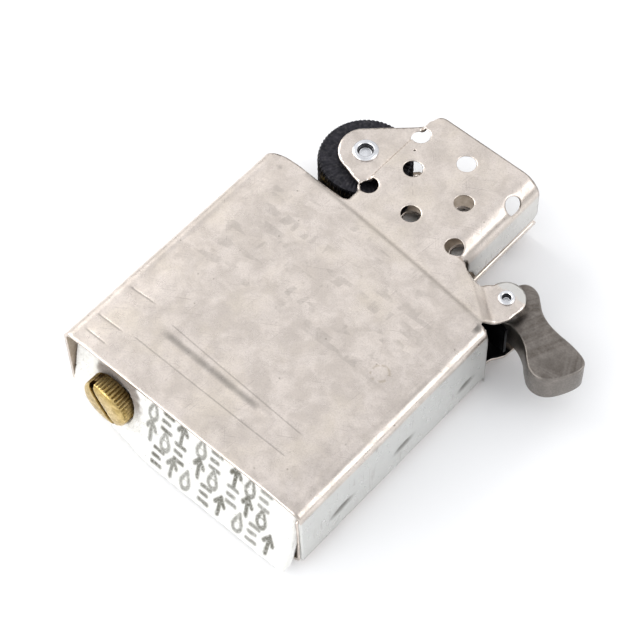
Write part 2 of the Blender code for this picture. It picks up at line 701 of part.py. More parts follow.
def build_packing(material):
    """Loose fibre packing that fills the can, one object for each wad."""
    wads = list(PACKING_BALLS) + [LEFT_PACKING]
    for number, (centre, reach) in enumerate(wads, start=1):
        mesh_data = bmesh.new()
        bmesh.ops.create_uvsphere(mesh_data, u_segments=16, v_segments=10, radius=1.0)
        bmesh.ops.scale(mesh_data, vec=(reach[0], reach[1], PACKING_HALF_DEPTH), verts=mesh_data.verts)
        bmesh.ops.translate(mesh_data, vec=(centre[0], centre[1], MIDDLE), verts=mesh_data.verts)
        make_object("packing_wad_%d" % number, mesh_data, material)


def main():
    """Build every piece."""
    clear_scene()
    steel = make_material("stainless_sheet", STEEL, 0.3, 1.0)
    rivet_steel = make_material("rivet_steel", (0.75, 0.76, 0.78), 0.25, 1.0)
    spring_steel = make_material("spring_steel", (0.5, 0.5, 0.5), 0.3, 1.0)
    wheel_steel = make_material("wheel_black", (0.02, 0.02, 0.022), 0.5, 0.6)
    cam_steel = make_material("cam_steel", (0.3, 0.27, 0.25), 0.4, 1.0)
    brass = make_material("brass", BRASS, 0.35, 1.0)
    flint_grey = make_material("flint_grey", (0.2, 0.19, 0.18), 0.6, 0.4)
    felt = make_material("felt_white", (0.85, 0.85, 0.82), 0.95, 0.0)
    cotton = make_material("cotton_white", (0.8, 0.79, 0.75), 0.95, 0.0)

    build_shell(steel)
    build_top_plate(steel)
    build_wheel(wheel_steel)
    build_tubular_rivet(
        "wheel_rivet", WHEEL_CENTRE, WHEEL_RIVET_BODY, WHEEL_RIVET_BORE, WHEEL_RIVET_FLANGE,
        WHEEL_EAR_DEPTH, rivet_steel)
    build_cam(cam_steel)
    build_tubular_rivet(
        "cam_rivet", CAM_CENTRE, CAM_RIVET_BODY, CAM_RIVET_BORE, CAM_RIVET_FLANGE, CAM_EAR_DEPTH, rivet_steel)
    build_cam_spring(spring_steel)
    build_cam_spring_rivet(rivet_steel)
    build_flint_tube(brass)
    build_flint(flint_grey)
    build_spring_tip(brass)
    build_flint_spring(spring_steel)
    build_screw(brass)
    build_felt_anchor(felt)
    build_felt_flap(felt)
    build_wick(cotton)
    build_packing(cotton)


main()
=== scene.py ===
"""Looks of the lighter insert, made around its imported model.

Sizes here are in millimetres unless a name says otherwise, and meshes are made in metres.
"""

import math
import random

import bmesh
import bpy
import numpy as np
from mathutils import Matrix, Vector, noise
from mathutils.geometry import delaunay_2d_cdt


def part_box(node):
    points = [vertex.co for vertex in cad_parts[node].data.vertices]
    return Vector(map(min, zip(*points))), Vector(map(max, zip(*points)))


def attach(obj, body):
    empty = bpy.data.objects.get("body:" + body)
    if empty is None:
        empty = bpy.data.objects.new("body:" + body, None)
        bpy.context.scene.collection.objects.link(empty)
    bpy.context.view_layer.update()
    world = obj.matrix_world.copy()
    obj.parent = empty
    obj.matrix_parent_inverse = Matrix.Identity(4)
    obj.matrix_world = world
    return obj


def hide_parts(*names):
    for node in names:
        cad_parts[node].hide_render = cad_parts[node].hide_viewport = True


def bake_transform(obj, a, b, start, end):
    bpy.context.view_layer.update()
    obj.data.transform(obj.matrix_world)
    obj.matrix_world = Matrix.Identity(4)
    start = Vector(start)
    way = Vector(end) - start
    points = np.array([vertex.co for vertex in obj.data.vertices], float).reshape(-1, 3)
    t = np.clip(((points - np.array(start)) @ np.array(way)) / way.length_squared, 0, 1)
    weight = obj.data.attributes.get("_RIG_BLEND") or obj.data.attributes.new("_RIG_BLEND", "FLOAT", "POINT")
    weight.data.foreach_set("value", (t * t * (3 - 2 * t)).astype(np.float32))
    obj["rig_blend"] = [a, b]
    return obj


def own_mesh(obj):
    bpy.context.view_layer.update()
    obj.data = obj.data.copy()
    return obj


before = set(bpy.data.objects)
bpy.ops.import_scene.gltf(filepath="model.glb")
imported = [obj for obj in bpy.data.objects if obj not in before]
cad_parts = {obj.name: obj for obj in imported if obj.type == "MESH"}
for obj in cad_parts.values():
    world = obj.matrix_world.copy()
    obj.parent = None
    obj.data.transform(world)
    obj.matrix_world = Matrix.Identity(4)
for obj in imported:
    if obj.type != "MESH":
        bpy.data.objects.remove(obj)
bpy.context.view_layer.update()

MM = 0.001


def box_mm(node):
    """Lowest and highest corners of a CAD node, in millimetres."""
    low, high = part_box(node)
    return low / MM, high / MM


def middle_mm(node):
    """Middle of a CAD node's box, in millimetres."""
    low, high = box_mm(node)
    return (low + high) / 2


# Driving dimensions, from the CAD parts' boxes
SHELL_LOW, SHELL_HIGH = box_mm("insert_shell")
THICKNESS = SHELL_HIGH.z - SHELL_LOW.z
HALF_WIDTH = -SHELL_LOW.x
SHOULDER = -SHELL_LOW.y
CHIMNEY_TOP = SHELL_HIGH.y
MIDDLE = THICKNESS / 2
WHEEL_CENTRE = middle_mm("flint_wheel")
WHEEL_RADIUS = (box_mm("flint_wheel")[1].y - box_mm("flint_wheel")[0].y) / 2
WHEEL_HALF = (box_mm("flint_wheel")[1].z - box_mm("flint_wheel")[0].z) / 2
CAM_CENTRE = middle_mm("cam_rivet")
TUBE_LOW, TUBE_HIGH = box_mm("flint_tube")
TUBE_X = (TUBE_LOW.x + TUBE_HIGH.x) / 2
TUBE_RADIUS = (TUBE_HIGH.x - TUBE_LOW.x) / 2

# Sheet of the shell
SHEET = 0.4
CORNER = 1.5
LAP = SHEET + 0.03
FACE_HALF = HALF_WIDTH - CORNER
ARC = CORNER * math.pi / 2
WALL = THICKNESS - 2 * CORNER
STRIP_FOOT = 13.8
NOTCH_FOOT = 14.3
STEP_DEPTH = 0.35
LEFT_CORNER_DROP = 1.1

# Chimney
FRONT_BEND = 2.6
BACK_BEND = 3.4
CHIMNEY_RIGHT = 9.6
FLANGE_EDGE = 4.7
BACK_EDGE = 3.95
ROLL_START = -5.3
ROLL_RADIUS = 0.9
ROLL_END = ROLL_START - 1.2
HOLE_RADIUS = 1.18
FACE_HOLES = ((-5.5, 20.7), (0.9, 20.8), (-3.1, 25.9), (4.6, 26.0), (-5.6, 30.3), (1.2, 30.6))
BEND_HOLES = ((7.75, 20.6), (9.15, 30.0))
EAR_DEPTH = 1.1
EAR_RADIUS = 3.25
CAM_EAR_DEPTH = 1.7
CAM_EAR_RADIUS = 2.25

# The camera, in millimetres and degrees
CAMERA_AZIMUTH = 43.16
CAMERA_ELEVATION = 57.49
CAMERA_DISTANCE = 244.3
CAMERA_ROLL = -1.62
CAMERA_TARGET = Vector((0.06, 5.81, 5.0))
CAMERA_LENS = 118.5

# Surface of the front
STAMP_PITCH = 2.3
RING_MARK = (12.6, 1.9, 1.05, 0.26)
FACE_DASHES = (
    ((-16.2, -15.3), (-12.9, -15.4)), ((-16.6, -13.0), (-12.8, -13.0)), ((-16.4, -8.0), (-12.5, -7.9)))
FACE_LINES = (((-9.1, -8.7), (11.2, -9.6)), ((-11.1, -12.6), (11.8, -12.75)))
WELD_SPOTS = ((-10.6, 4.6, 2.1), (-0.2, 4.7, 1.7), (10.7, 4.1, 1.5))

# Brass, wire and felt
SCREW_HEAD_DEPTH = 2.55
SLOT_TURN = 58.0
SLOT_HALF = 0.42
COIL_WIRE = 0.2
COIL_RADIUS = 1.0
COIL_PITCH = 1.15
FELT_THICKNESS = 3.0
FIBRES = 2600

random_source = random.Random(7)


def smooth(share):
    """Smooth ramp from 0 to 1, for numbers and arrays."""
    share = np.clip(share, 0.0, 1.0)
    return share * share * (3 - 2 * share)


def bell(distance, reach):
    """Rounded bump of height 1 that ends at a reach."""
    return 1.0 - smooth(np.abs(distance) / reach)


# Materials ---------------------------------------------------------------


class Nodes:
    """Short forms for building one material's node tree."""

    def __init__(self, name, **values):
        self.material = bpy.data.materials.new(name)
        self.material.use_nodes = True
        self.tree = self.material.node_tree
        self.shader = self.tree.nodes["Principled BSDF"]
        for socket, value in values.items():
            self.shader.inputs[socket.replace("_", " ")].default_value = value
        self.coords = self.tree.nodes.new("ShaderNodeTexCoord").outputs["Object"]
        self.height = None

    def put(self, socket, value):
        """Set a socket, or link an output into it."""
        if hasattr(value, "is_linked"):
            self.tree.links.new(value, socket)
        else:
            socket.default_value = value

    def math(self, operation, first, second=0.0, clamp=False):
        """A Math node."""
        node = self.tree.nodes.new("ShaderNodeMath")
        node.operation = operation
        node.use_clamp = clamp
        self.put(node.inputs[0], first)
        self.put(node.inputs[1], second)
        return node.outputs[0]

    def stretched(self, scale, turn=0.0):
        """Object coordinates turned about Z and scaled, per axis."""
        node = self.tree.nodes.new("ShaderNodeMapping")
        node.vector_type = "TEXTURE"
        node.inputs["Rotation"].default_value = (0.0, 0.0, math.radians(turn))
        node.inputs["Scale"].default_value = [1.0 / item for item in scale]
        self.put(node.inputs["Vector"], self.coords)
        return node.outputs[0]

    def noise(self, size, detail=3.0, roughness=0.55, vector=None, distortion=0.0):
        """Noise with a grain of a size in millimetres."""
        node = self.tree.nodes.new("ShaderNodeTexNoise")
        node.inputs["Scale"].default_value = 1.0 / (size * MM) if vector is None else 1.0
        node.inputs["Detail"].default_value = detail
        node.inputs["Roughness"].default_value = roughness
        node.inputs["Distortion"].default_value = distortion
        self.put(node.inputs["Vector"], self.coords if vector is None else vector)
        return node.outputs["Fac"]

    def cells(self, size, randomness=1.0):
        """Distance to random points about a size apart, in millimetres."""
        node = self.tree.nodes.new("ShaderNodeTexVoronoi")
        node.inputs["Scale"].default_value = 1.0 / (size * MM)
        node.inputs["Randomness"].default_value = randomness
        self.put(node.inputs["Vector"], self.coords)
        return node.outputs["Distance"]

    def attribute(self, name):
        """A number painted on the mesh."""
        node = self.tree.nodes.new("ShaderNodeAttribute")
        node.attribute_name = name
        return node.outputs["Fac"]

    def ramp(self, source, low, high, flat=(0.0, 1.0)):
        """Map a range onto another, clamped and smooth."""
        node = self.tree.nodes.new("ShaderNodeMapRange")
        node.interpolation_type = "SMOOTHSTEP"
        for index, value in ((1, low), (2, high), (3, flat[0]), (4, flat[1])):
            node.inputs[index].default_value = value
        self.put(node.inputs[0], source)
        return node.outputs[0]

    def mix(self, factor, first, second, blend="MIX"):
        """Mix two colours."""
        node = self.tree.nodes.new("ShaderNodeMix")
        node.data_type = "RGBA"
        node.blend_type = blend
        self.put(node.inputs[0], factor)
        for socket, value in ((node.inputs[6], first), (node.inputs[7], second)):
            self.put(socket, value if hasattr(value, "is_linked") else (*value, 1.0))
        return node.outputs[2]

    def bump(self, height, distance, strength=1.0):
        """Add a bump layer, with its distance in millimetres."""
        node = self.tree.nodes.new("ShaderNodeBump")
        node.inputs["Strength"].default_value = strength
        node.inputs["Distance"].default_value = distance * MM
        self.put(node.inputs["Height"], height)
        if self.height is not None:
            self.put(node.inputs["Normal"], self.height)
        self.height = node.outputs["Normal"]

    def finish(self, colour=None, roughness=None):
        """Link the colour, roughness and bump, and return the material."""
        if colour is not None:
            self.put(self.shader.inputs["Base Color"], colour)
        if roughness is not None:
            self.put(self.shader.inputs["Roughness"], roughness)
        if self.height is not None:
            self.put(self.shader.inputs["Normal"], self.height)
        return self.material


def scratches(nodes, turn, spacing, thin, share):
    """Fine straight scratches at one angle, 1 on a scratch."""
    lines = nodes.noise(1.0, 2.0, 0.5, nodes.stretched((0.12 / MM, spacing / MM, 0.12 / MM), turn))
    gate = nodes.noise(2.3, 2.0, 0.6)
    fine = nodes.ramp(lines, 0.5 + thin, 0.5 + thin * 2.2)
    return nodes.math("MULTIPLY", fine, nodes.ramp(gate, 1 - share, 1.08 - share))


def stamped_rows(nodes):
    """Faint rows of worn upright strokes on the can's front, 1 on a stroke."""
    split = nodes.tree.nodes.new("ShaderNodeSeparateXYZ")
    nodes.put(split.inputs[0], nodes.coords)
    lines_up = nodes.math("MULTIPLY", split.outputs["Y"], 1 / (STAMP_PITCH * MM))
    row = nodes.math("FRACT", nodes.math("ADD", lines_up, 20.0))
    band = nodes.math("MULTIPLY", nodes.ramp(row, 0.16, 0.24), nodes.ramp(row, 0.86, 0.78))
    strokes = nodes.noise(1.0, 1.0, 0.5, nodes.stretched((0.26 / MM, 0.8 / MM, 9.0 / MM), 4.0))
    other = nodes.noise(1.0, 1.0, 0.5, nodes.stretched((0.75 / MM, 0.22 / MM, 9.0 / MM), -5.0))
    lines = nodes.math("MAXIMUM", nodes.ramp(strokes, 0.545, 0.59), nodes.ramp(other, 0.57, 0.615))
    worn = nodes.ramp(nodes.noise(2.2, 3.0, 0.6), 0.42, 0.6)
    shown = nodes.math("MULTIPLY", nodes.math("MULTIPLY", band, lines), worn)
    return nodes.math("MULTIPLY", shown, nodes.attribute("stamped"))


def ring_mark(nodes, x, y, radius, width):
    """A round scuff on the front, 1 on its line."""
    node = nodes.tree.nodes.new("ShaderNodeVectorMath")
    node.operation = "DISTANCE"
    nodes.put(node.inputs[0], nodes.stretched((1.0, 1.0, 0.0001)))
    node.inputs[1].default_value = (x * MM, y * MM, 0.0)
    away = nodes.math("ABSOLUTE", nodes.math("SUBTRACT", node.outputs["Value"], radius * MM))
    return nodes.math("MULTIPLY", nodes.ramp(away, width * MM, 0.0), nodes.ramp(nodes.noise(0.9), 0.44, 0.56))


def make_shell_material():
    """Satin stainless sheet with mottling, smudges, specks, worn stamping, scratches and weld marks, plus
    painted shade in its creases, grooves, bends and gaps and a painted reflection that makes its walls paler.
    """
    nodes = Nodes("satin_sheet", Metallic=1.0)
    cloud = nodes.ramp(nodes.noise(2.6, 5.0, 0.62, distortion=0.4), 0.34, 0.68)
    colour = nodes.mix(cloud, (0.675, 0.606, 0.549), (0.838, 0.757, 0.695))
    warm = nodes.ramp(nodes.noise(7.0, 4.0, 0.6), 0.46, 0.72)
    colour = nodes.mix(nodes.math("MULTIPLY", warm, 0.5), colour, (0.810, 0.725, 0.615))
    grain = nodes.noise(0.2, 4.0, 0.7)
    colour = nodes.mix(nodes.ramp(grain, 0.3, 0.62, (0.30, 0.0)), colour, (0.42, 0.38, 0.35))
    # Painted reflection: a paler colour on the right side wall and the chimney's flange.
    colour = nodes.mix(nodes.attribute("pale"), colour, (0.69, 0.692, 0.672))
    first = scratches(nodes, 31.0, 9.0, 0.10, 0.5)
    second = scratches(nodes, -48.0, 7.0, 0.11, 0.45)
    third = scratches(nodes, 84.0, 8.0, 0.12, 0.5)
    marks = nodes.math("ADD", nodes.math("ADD", first, second), third, clamp=True)
    colour = nodes.mix(nodes.math("MULTIPLY", marks, 0.42), colour, (0.38, 0.34, 0.32))
    stamping = stamped_rows(nodes)
    colour = nodes.mix(nodes.math("MULTIPLY", stamping, 0.3), colour, (0.36, 0.33, 0.30))
    specks = nodes.ramp(nodes.cells(1.5), 0.11, 0.03)
    specks = nodes.math("MULTIPLY", specks, nodes.ramp(nodes.noise(5.0), 0.5, 0.58))
    colour = nodes.mix(nodes.math("MULTIPLY", specks, 0.6), colour, (0.27, 0.24, 0.20))
    scuff = ring_mark(nodes, *RING_MARK)
    colour = nodes.mix(nodes.math("MULTIPLY", scuff, 0.4), colour, (0.36, 0.29, 0.19))
    # Dark colour where the stain number is set: weld marks, and painted shade in the creases, grooves, bends,
    # corners and gaps.
    colour = nodes.mix(nodes.attribute("stain_and_painted_light"), colour, (0.16, 0.15, 0.135))
    rough = nodes.ramp(nodes.noise(1.1, 4.0), 0.3, 0.75, (0.26, 0.40))
    rough = nodes.math("ADD", rough, nodes.math("MULTIPLY", marks, 0.1))
    nodes.bump(nodes.noise(0.35, 4.0, 0.6), 0.014, 0.7)
    nodes.bump(nodes.math("ADD", nodes.math("MULTIPLY", stamping, 0.8), marks), -0.008, 0.35)
    return nodes.finish(colour, rough)


def make_inside_material():
    """Inner side of the sheet: duller and browned by heat, with near-black painted shade inside the can by
    the notch and on the inner side walls near its top.
    """
    nodes = Nodes("browned_inner_sheet", Metallic=1.0)
    cloud = nodes.ramp(nodes.noise(3.0, 5.0, 0.65), 0.35, 0.7)
    colour = nodes.mix(cloud, (0.24, 0.19, 0.145), (0.48, 0.41, 0.34))
    # Painted shade: near-black where the inside of the can lies in shadow.
    colour = nodes.mix(nodes.attribute("inside_painted_shade"), colour, (0.012, 0.012, 0.013))
    nodes.bump(nodes.noise(0.3, 4.0), 0.015, 0.7)
    return nodes.finish(colour, nodes.ramp(nodes.noise(1.0), 0.3, 0.7, (0.42, 0.6)))


def make_metal(name, dark, light, rough, grain=0.4, turn=0.0, stretch=None, stain_and_painted_light=None):
    """A worn metal: two-tone mottling, fine grain or brushing, and an optional colour laid on where the stain
    number is set: tarnish on the brass, painted shade in the rivets' bores and painted light on the cam's
    sides.
    """
    nodes = Nodes(name, Metallic=1.0)
    cloud = nodes.ramp(nodes.noise(1.6, 5.0, 0.62), 0.32, 0.7)
    colour = nodes.mix(cloud, dark, light)
    if stretch is None:
        fine = nodes.noise(grain, 4.0, 0.6)
    else:
        fine = nodes.noise(1.0, 3.0, 0.6, nodes.stretched([item / MM for item in stretch], turn))
    colour = nodes.mix(nodes.ramp(fine, 0.3, 0.7, (0.35, 0.0)), colour, [item * 0.45 for item in dark])
    if stain_and_painted_light is not None:
        colour = nodes.mix(nodes.attribute("stain_and_painted_light"), colour, stain_and_painted_light)
    nodes.bump(fine, 0.01, 0.6)
    return nodes.finish(colour, nodes.ramp(fine, 0.3, 0.7, (rough + 0.1, rough - 0.05)))


def make_felt_material():
    """White felt: matted fibres, slight yellowing, worn print and a dark stain by the screw."""
    nodes = Nodes("white_felt", Roughness=0.95, Sheen_Weight=0.35, Sheen_Roughness=0.6)
    cloud = nodes.ramp(nodes.noise(1.8, 5.0, 0.6), 0.3, 0.7)
    colour = nodes.mix(cloud, (0.90, 0.895, 0.86), (0.97, 0.97, 0.955))
    matted = nodes.noise(0.16, 4.0, 0.7, distortion=1.2)
    colour = nodes.mix(nodes.ramp(matted, 0.3, 0.65, (0.25, 0.0)), colour, (0.66, 0.64, 0.57))
    worn = nodes.ramp(nodes.noise(0.42, 4.0, 0.7), 0.33, 0.5, (0.68, 1.0))
    ink = nodes.math("MULTIPLY", nodes.attribute("ink"), worn)
    colour = nodes.mix(ink, colour, (0.085, 0.082, 0.055))
    colour = nodes.mix(nodes.attribute("stain_and_painted_light"), colour, (0.13, 0.085, 0.055))
    nodes.bump(matted, 0.10, 0.7)
    nodes.bump(nodes.noise(0.06, 2.0), 0.03, 0.5)
    return nodes.finish(colour)


def make_cotton_material():
    """Cotton yarn and loose fibre."""
    nodes = Nodes("cotton", Roughness=0.95, Sheen_Weight=0.3)
    cloud = nodes.ramp(nodes.noise(0.9, 5.0, 0.65), 0.3, 0.7)
    colour = nodes.mix(cloud, (0.66, 0.62, 0.52), (0.86, 0.84, 0.78))
    colour = nodes.mix(nodes.attribute("stain_and_painted_light"), colour, (0.06, 0.05, 0.045))
    nodes.bump(nodes.noise(0.12, 4.0, 0.7, distortion=1.0), 0.08, 0.8)
    return nodes.finish(colour)


def make_wheel_material():
    """Blackened hard steel, bare on the worn crests of the teeth."""
    nodes = Nodes("black_steel", Metallic=0.75)
    cloud = nodes.ramp(nodes.noise(0.8, 5.0, 0.65), 0.35, 0.7)
    colour = nodes.mix(cloud, (0.012, 0.012, 0.016), (0.036, 0.034, 0.042))
    worn = nodes.math("MULTIPLY", nodes.attribute("stain_and_painted_light"), nodes.ramp(nodes.noise(0.5, 4.0), 0.48, 0.66))
    colour = nodes.mix(nodes.math("MULTIPLY", worn, 0.5), colour, (0.20, 0.19, 0.19))
    nodes.bump(nodes.noise(0.12, 4.0), 0.02, 0.7)
    return nodes.finish(colour, nodes.ramp(nodes.noise(0.6, 4.0), 0.3, 0.7, (0.36, 0.55)))


def make_floor_material():
    """Pale matt board."""
    nodes = Nodes("pale_board", Roughness=0.9)
    colour = nodes.mix(nodes.noise(40.0, 3.0), (0.92, 0.925, 0.935), (0.94, 0.944, 0.954))
    return nodes.finish(colour)


# Meshes ------------------------------------------------------------------


def mesh_object(name, points, faces, materials, painted_numbers=None, smooth_angle=40.0):
    """An object from points in millimetres, with an optional painted number for each point."""
    mesh = bpy.data.meshes.new(name)
    mesh.from_pydata([tuple(float(item) * MM for item in point) for point in points], [], faces)
    mesh.validate()
    for attribute, values in (painted_numbers or {}).items():
        layer = mesh.attributes.new(attribute, "FLOAT", "POINT")
        layer.data.foreach_set("value", np.asarray(values, np.float32))
    mesh.shade_smooth()
    mesh.set_sharp_from_angle(angle=math.radians(smooth_angle))
    for material in materials:
        mesh.materials.append(material)
    item = bpy.data.objects.new(name, mesh)
    bpy.context.scene.collection.objects.link(item)
    return item


def apply_modifiers(item):
    """Replace an object's mesh by its evaluated mesh."""
    bpy.context.view_layer.update()
    graph = bpy.context.evaluated_depsgraph_get()
    mesh = bpy.data.meshes.new_from_object(
        item.evaluated_get(graph), preserve_all_data_layers=True, depsgraph=graph)
    item.modifiers.clear()
    old = item.data
    item.data = mesh
    bpy.data.meshes.remove(old)


def soften_edges(item, width, segments, limit):
    """Add a bevel to edges sharper than a limit in degrees, and return it."""
    soften = item.modifiers.new("soften", "BEVEL")
    soften.width = width * MM
    soften.segments = segments
    soften.limit_method = "ANGLE"
    soften.angle_limit = math.radians(limit)
    return soften


def cut_away(item, cutter):
    """Add an exact cut by another object, which has to stay until it is applied."""
    cut = item.modifiers.new("cut", "BOOLEAN")
    cut.operation = "DIFFERENCE"
    cut.solver = "EXACT"
    cut.object = cutter


def spline_point(four, t):
    """A point between the middle two of four points, on a smooth curve through them."""
    bend = 2 * four[0] - 5 * four[1] + 4 * four[2] - four[3]
    return 0.5 * (
        2 * four[1] + (four[2] - four[0]) * t + bend * t * t
        + (3 * four[1] - four[0] - 3 * four[2] + four[3]) * t ** 3)


def place(item, body, slot, *nodes):
    """Ride a finished piece on a body and hide the CAD nodes it stands for; its slot is not used."""
    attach(item, body)
    if nodes:
        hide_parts(*nodes)
    return item


def turned(profile, steps, matrix, shape=None):
    """Points and faces of a closed profile of (radius, along) turned about an axis.

    shape(index, angle) may change the radius of a profile point.
    """
    points = []
    for step in range(steps):
        angle = 2 * math.pi * step / steps
        for index, (radius, along) in enumerate(profile):
            reach = radius + (shape(index, angle) if shape else 0.0)
            points.append(matrix @ Vector((reach * math.cos(angle), reach * math.sin(angle), along)))
    count = len(profile)
    faces = []
    for step in range(steps):
        here = step * count
        after = ((step + 1) % steps) * count
        for i in range(count):
            j = (i + 1) % count
            if profile[i][0] > 0.0 or profile[j][0] > 0.0:
                faces.append((here + i, after + i, after + j, here + j))
    return points, faces


def closed_up(item):
    """Merge doubled points, drop empty faces and point all faces outwards."""
    mesh_data = bmesh.new()
    mesh_data.from_mesh(item.data)
    bmesh.ops.remove_doubles(mesh_data, verts=mesh_data.verts, dist=2e-6)
    bmesh.ops.dissolve_degenerate(mesh_data, edges=mesh_data.edges, dist=1e-7)
    bmesh.ops.recalc_face_normals(mesh_data, faces=mesh_data.faces)
    mesh_data.to_mesh(item.data)
    mesh_data.free()
    return item


def rounded_profile(corners, steps=5):
    """Closed profile through (x, y, radius) corners, each one rounded."""
    outline = []
    count = len(corners)
    for index, (x, y, radius) in enumerate(corners):
        here = Vector((x, y))
        before = (Vector(corners[index - 1][:2]) - here).normalized()
        after = (Vector(corners[(index + 1) % count][:2]) - here).normalized()
        if radius <= 0.0:
            outline.append((x, y))
            continue
        half = before.angle(after) / 2
        reach = radius / math.tan(half)
        start = here + before * reach
        end = here + after * reach
        for step in range(steps + 1):
            share = step / steps
            bent = start.lerp(here, share).lerp(here.lerp(end, share), share)
            outline.append((bent.x, bent.y))
    return outline


def tube_along(path, radii, sides, turns=None):
    """Points and faces of a closed tube along a path, with a radius for each path point."""
    points = []
    faces = []
    up = Vector((0.0, 0.0, 1.0))
    for index, centre in enumerate(path):
        ahead = path[min(index + 1, len(path) - 1)]
        behind = path[max(index - 1, 0)]
        run = (ahead - behind).normalized()
        side = run.cross(up)
        if side.length < 1e-3:
            side = run.cross(Vector((1.0, 0.0, 0.0)))
        side.normalize()
        top = side.cross(run)
        for corner in range(sides):
            angle = 2 * math.pi * corner / sides + (turns[index] if turns else 0.0)
            points.append(centre + (side * math.cos(angle) + top * math.sin(angle)) * radii[index])
    for ring in range(len(path) - 1):
        for i in range(sides):
            j = (i + 1) % sides
            here = ring * sides
            after = here + sides
            faces.append((here + i, here + j, after + j, after + i))
    faces.append(tuple(range(sides - 1, -1, -1)))
    last = (len(path) - 1) * sides
    faces.append(tuple(range(last, last + sides)))
    return points, faces


def add_part(points, faces, more_points, more_faces):
    """Append one set of points and faces to another."""
    shift = len(points)
    points.extend(more_points)
    faces.extend(tuple(index + shift for index in face) for face in more_faces)


# The shell, one folded sheet laid out flat ---------------------------------
# u runs along the sheet across the front from its middle, v runs along +Y.

BACK_START = 2 * ARC + WALL + FACE_HALF
BACK_SHIFT = BACK_START + FACE_HALF
TUCKED = CORNER - LAP
SHEET_RIGHT = FACE_HALF + ARC + WALL
SHEET_LEFT = -(BACK_SHIFT + FACE_HALF + TUCKED * math.pi / 2 + WALL)
SIDE_MIDDLE = -(FACE_HALF + ARC + WALL / 2)


def can_section(u):
    """X, Z and the outward direction of the can's section at a distance along the sheet."""
    s = np.abs(u)
    x = np.where(u >= 0, s, -s)
    z = np.full_like(u, THICKNESS)
    out_x = np.zeros_like(u)
    out_z = np.ones_like(u)

    def bend(chosen, start, radius, centre_x, centre_z, first, turn=-1):
        angle = first - (s[chosen] - start) / radius * turn
        out_x[chosen] = np.cos(angle)
        out_z[chosen] = np.sin(angle)
        x[chosen] = centre_x + radius * out_x[chosen]
        z[chosen] = centre_z + radius * out_z[chosen]

    def wall(chosen, start, place_x, from_z, direction):
        x[chosen] = place_x
        z[chosen] = from_z + direction * (s[chosen] - start)
        out_x[chosen] = math.copysign(1.0, place_x)
        out_z[chosen] = 0.0

    right = u >= 0
    left = ~right
    edge = FACE_HALF + ARC
    chosen = right & (s > FACE_HALF) & (s <= edge)
    bend(chosen, FACE_HALF, CORNER, FACE_HALF, THICKNESS - CORNER, math.pi / 2, turn=1)
    wall(right & (s > edge), edge, HALF_WIDTH, THICKNESS - CORNER, -1)
    chosen = left & (s > FACE_HALF) & (s <= edge)
    bend(chosen, FACE_HALF, CORNER, -FACE_HALF, THICKNESS - CORNER, math.pi / 2)
    wall(left & (s > edge) & (s <= edge + WALL), edge, -HALF_WIDTH, THICKNESS - CORNER, -1)
    chosen = left & (s > edge + WALL) & (s <= BACK_START)
    bend(chosen, edge + WALL, CORNER, -FACE_HALF, CORNER, math.pi)
    chosen = left & (s > BACK_START)
    x[chosen] = s[chosen] - BACK_SHIFT
    z[chosen] = 0.0
    out_z[chosen] = -1.0
    tuck_start = BACK_SHIFT + FACE_HALF
    tuck_end = tuck_start + TUCKED * math.pi / 2
    chosen = left & (s > tuck_start) & (s <= tuck_end)
    bend(chosen, tuck_start, TUCKED, FACE_HALF, TUCKED, 1.5 * math.pi)
    wall(left & (s > tuck_end), tuck_end, FACE_HALF + TUCKED, TUCKED, 1)
    return x, z, out_x, out_z


def crease_line(x):
    """Y of the soft crease where the can steps down to the chimney's level."""
    return 16.15 - 0.085 * (x - 1.0) - 0.0012 * (x - 1.0) ** 2


def across_joggle(x, y):
    """Distance of a point across the diagonal step of the cam ear."""
    return 0.605 * x + 0.796 * y


def hole_roll(x, y, centres, radius):
    """Depth of the rounded edge of punched holes."""
    depth = np.zeros_like(x)
    for hole_x, hole_y in centres:
        away = np.hypot(x - hole_x, y - hole_y) - radius
        depth += 0.09 * (1 - np.clip(away / 0.26, 0, 1)) ** 2
    return depth


def groove(x, y, start, end, width, depth):
    """Depth of a straight groove between two points."""
    run = Vector(end) - Vector(start)
    length = run.length
    run.normalize()
    along = (x - start[0]) * run.x + (y - start[1]) * run.y
    across = (x - start[0]) * run.y - (y - start[1]) * run.x
    fade = 3 * width
    ends = smooth((along + width) / fade) * smooth((length + width - along) / fade)
    return depth * bell(across, width) * ends


def face_marks(x, y):
    """Depth of the pressed dashes, lines and wide groove on the can's front, and how dark they are: painted
    shade on the wide groove's upper side and along the left crease, and darker middles along the dashes and
    lines.
    """
    depth = groove(x, y, (-9.0, -10.3), (6.8, -10.6), 0.75, 0.13)
    dark = groove(x, y, (-9.0, -9.9), (5.6, -10.2), 0.62, 0.62)
    for start, end in FACE_DASHES:
        depth += groove(x, y, start, end, 0.2, 0.05)
        dark = np.maximum(dark, groove(x, y, start, end, 0.17, 0.6))
    for start, end in FACE_LINES:
        depth += groove(x, y, start, end, 0.13, 0.035)
        dark = np.maximum(dark, groove(x, y, start, end, 0.13, 0.5))
    depth += groove(x, y, (-16.3, 15.4), (-16.3, -5.4), 0.55, 0.06)
    dark = np.maximum(dark, groove(x, y, (-16.0, 15.4), (-16.0, -5.4), 0.5, 0.10))
    return depth, dark


def ripple(x, y, z):
    """Slow waviness of the handled sheet."""
    slow = noise.noise(Vector((x / 7.0, y / 7.0, z / 7.0))) * 0.05
    return slow + noise.noise(Vector((x / 2.6, y / 2.6, z))) * 0.012


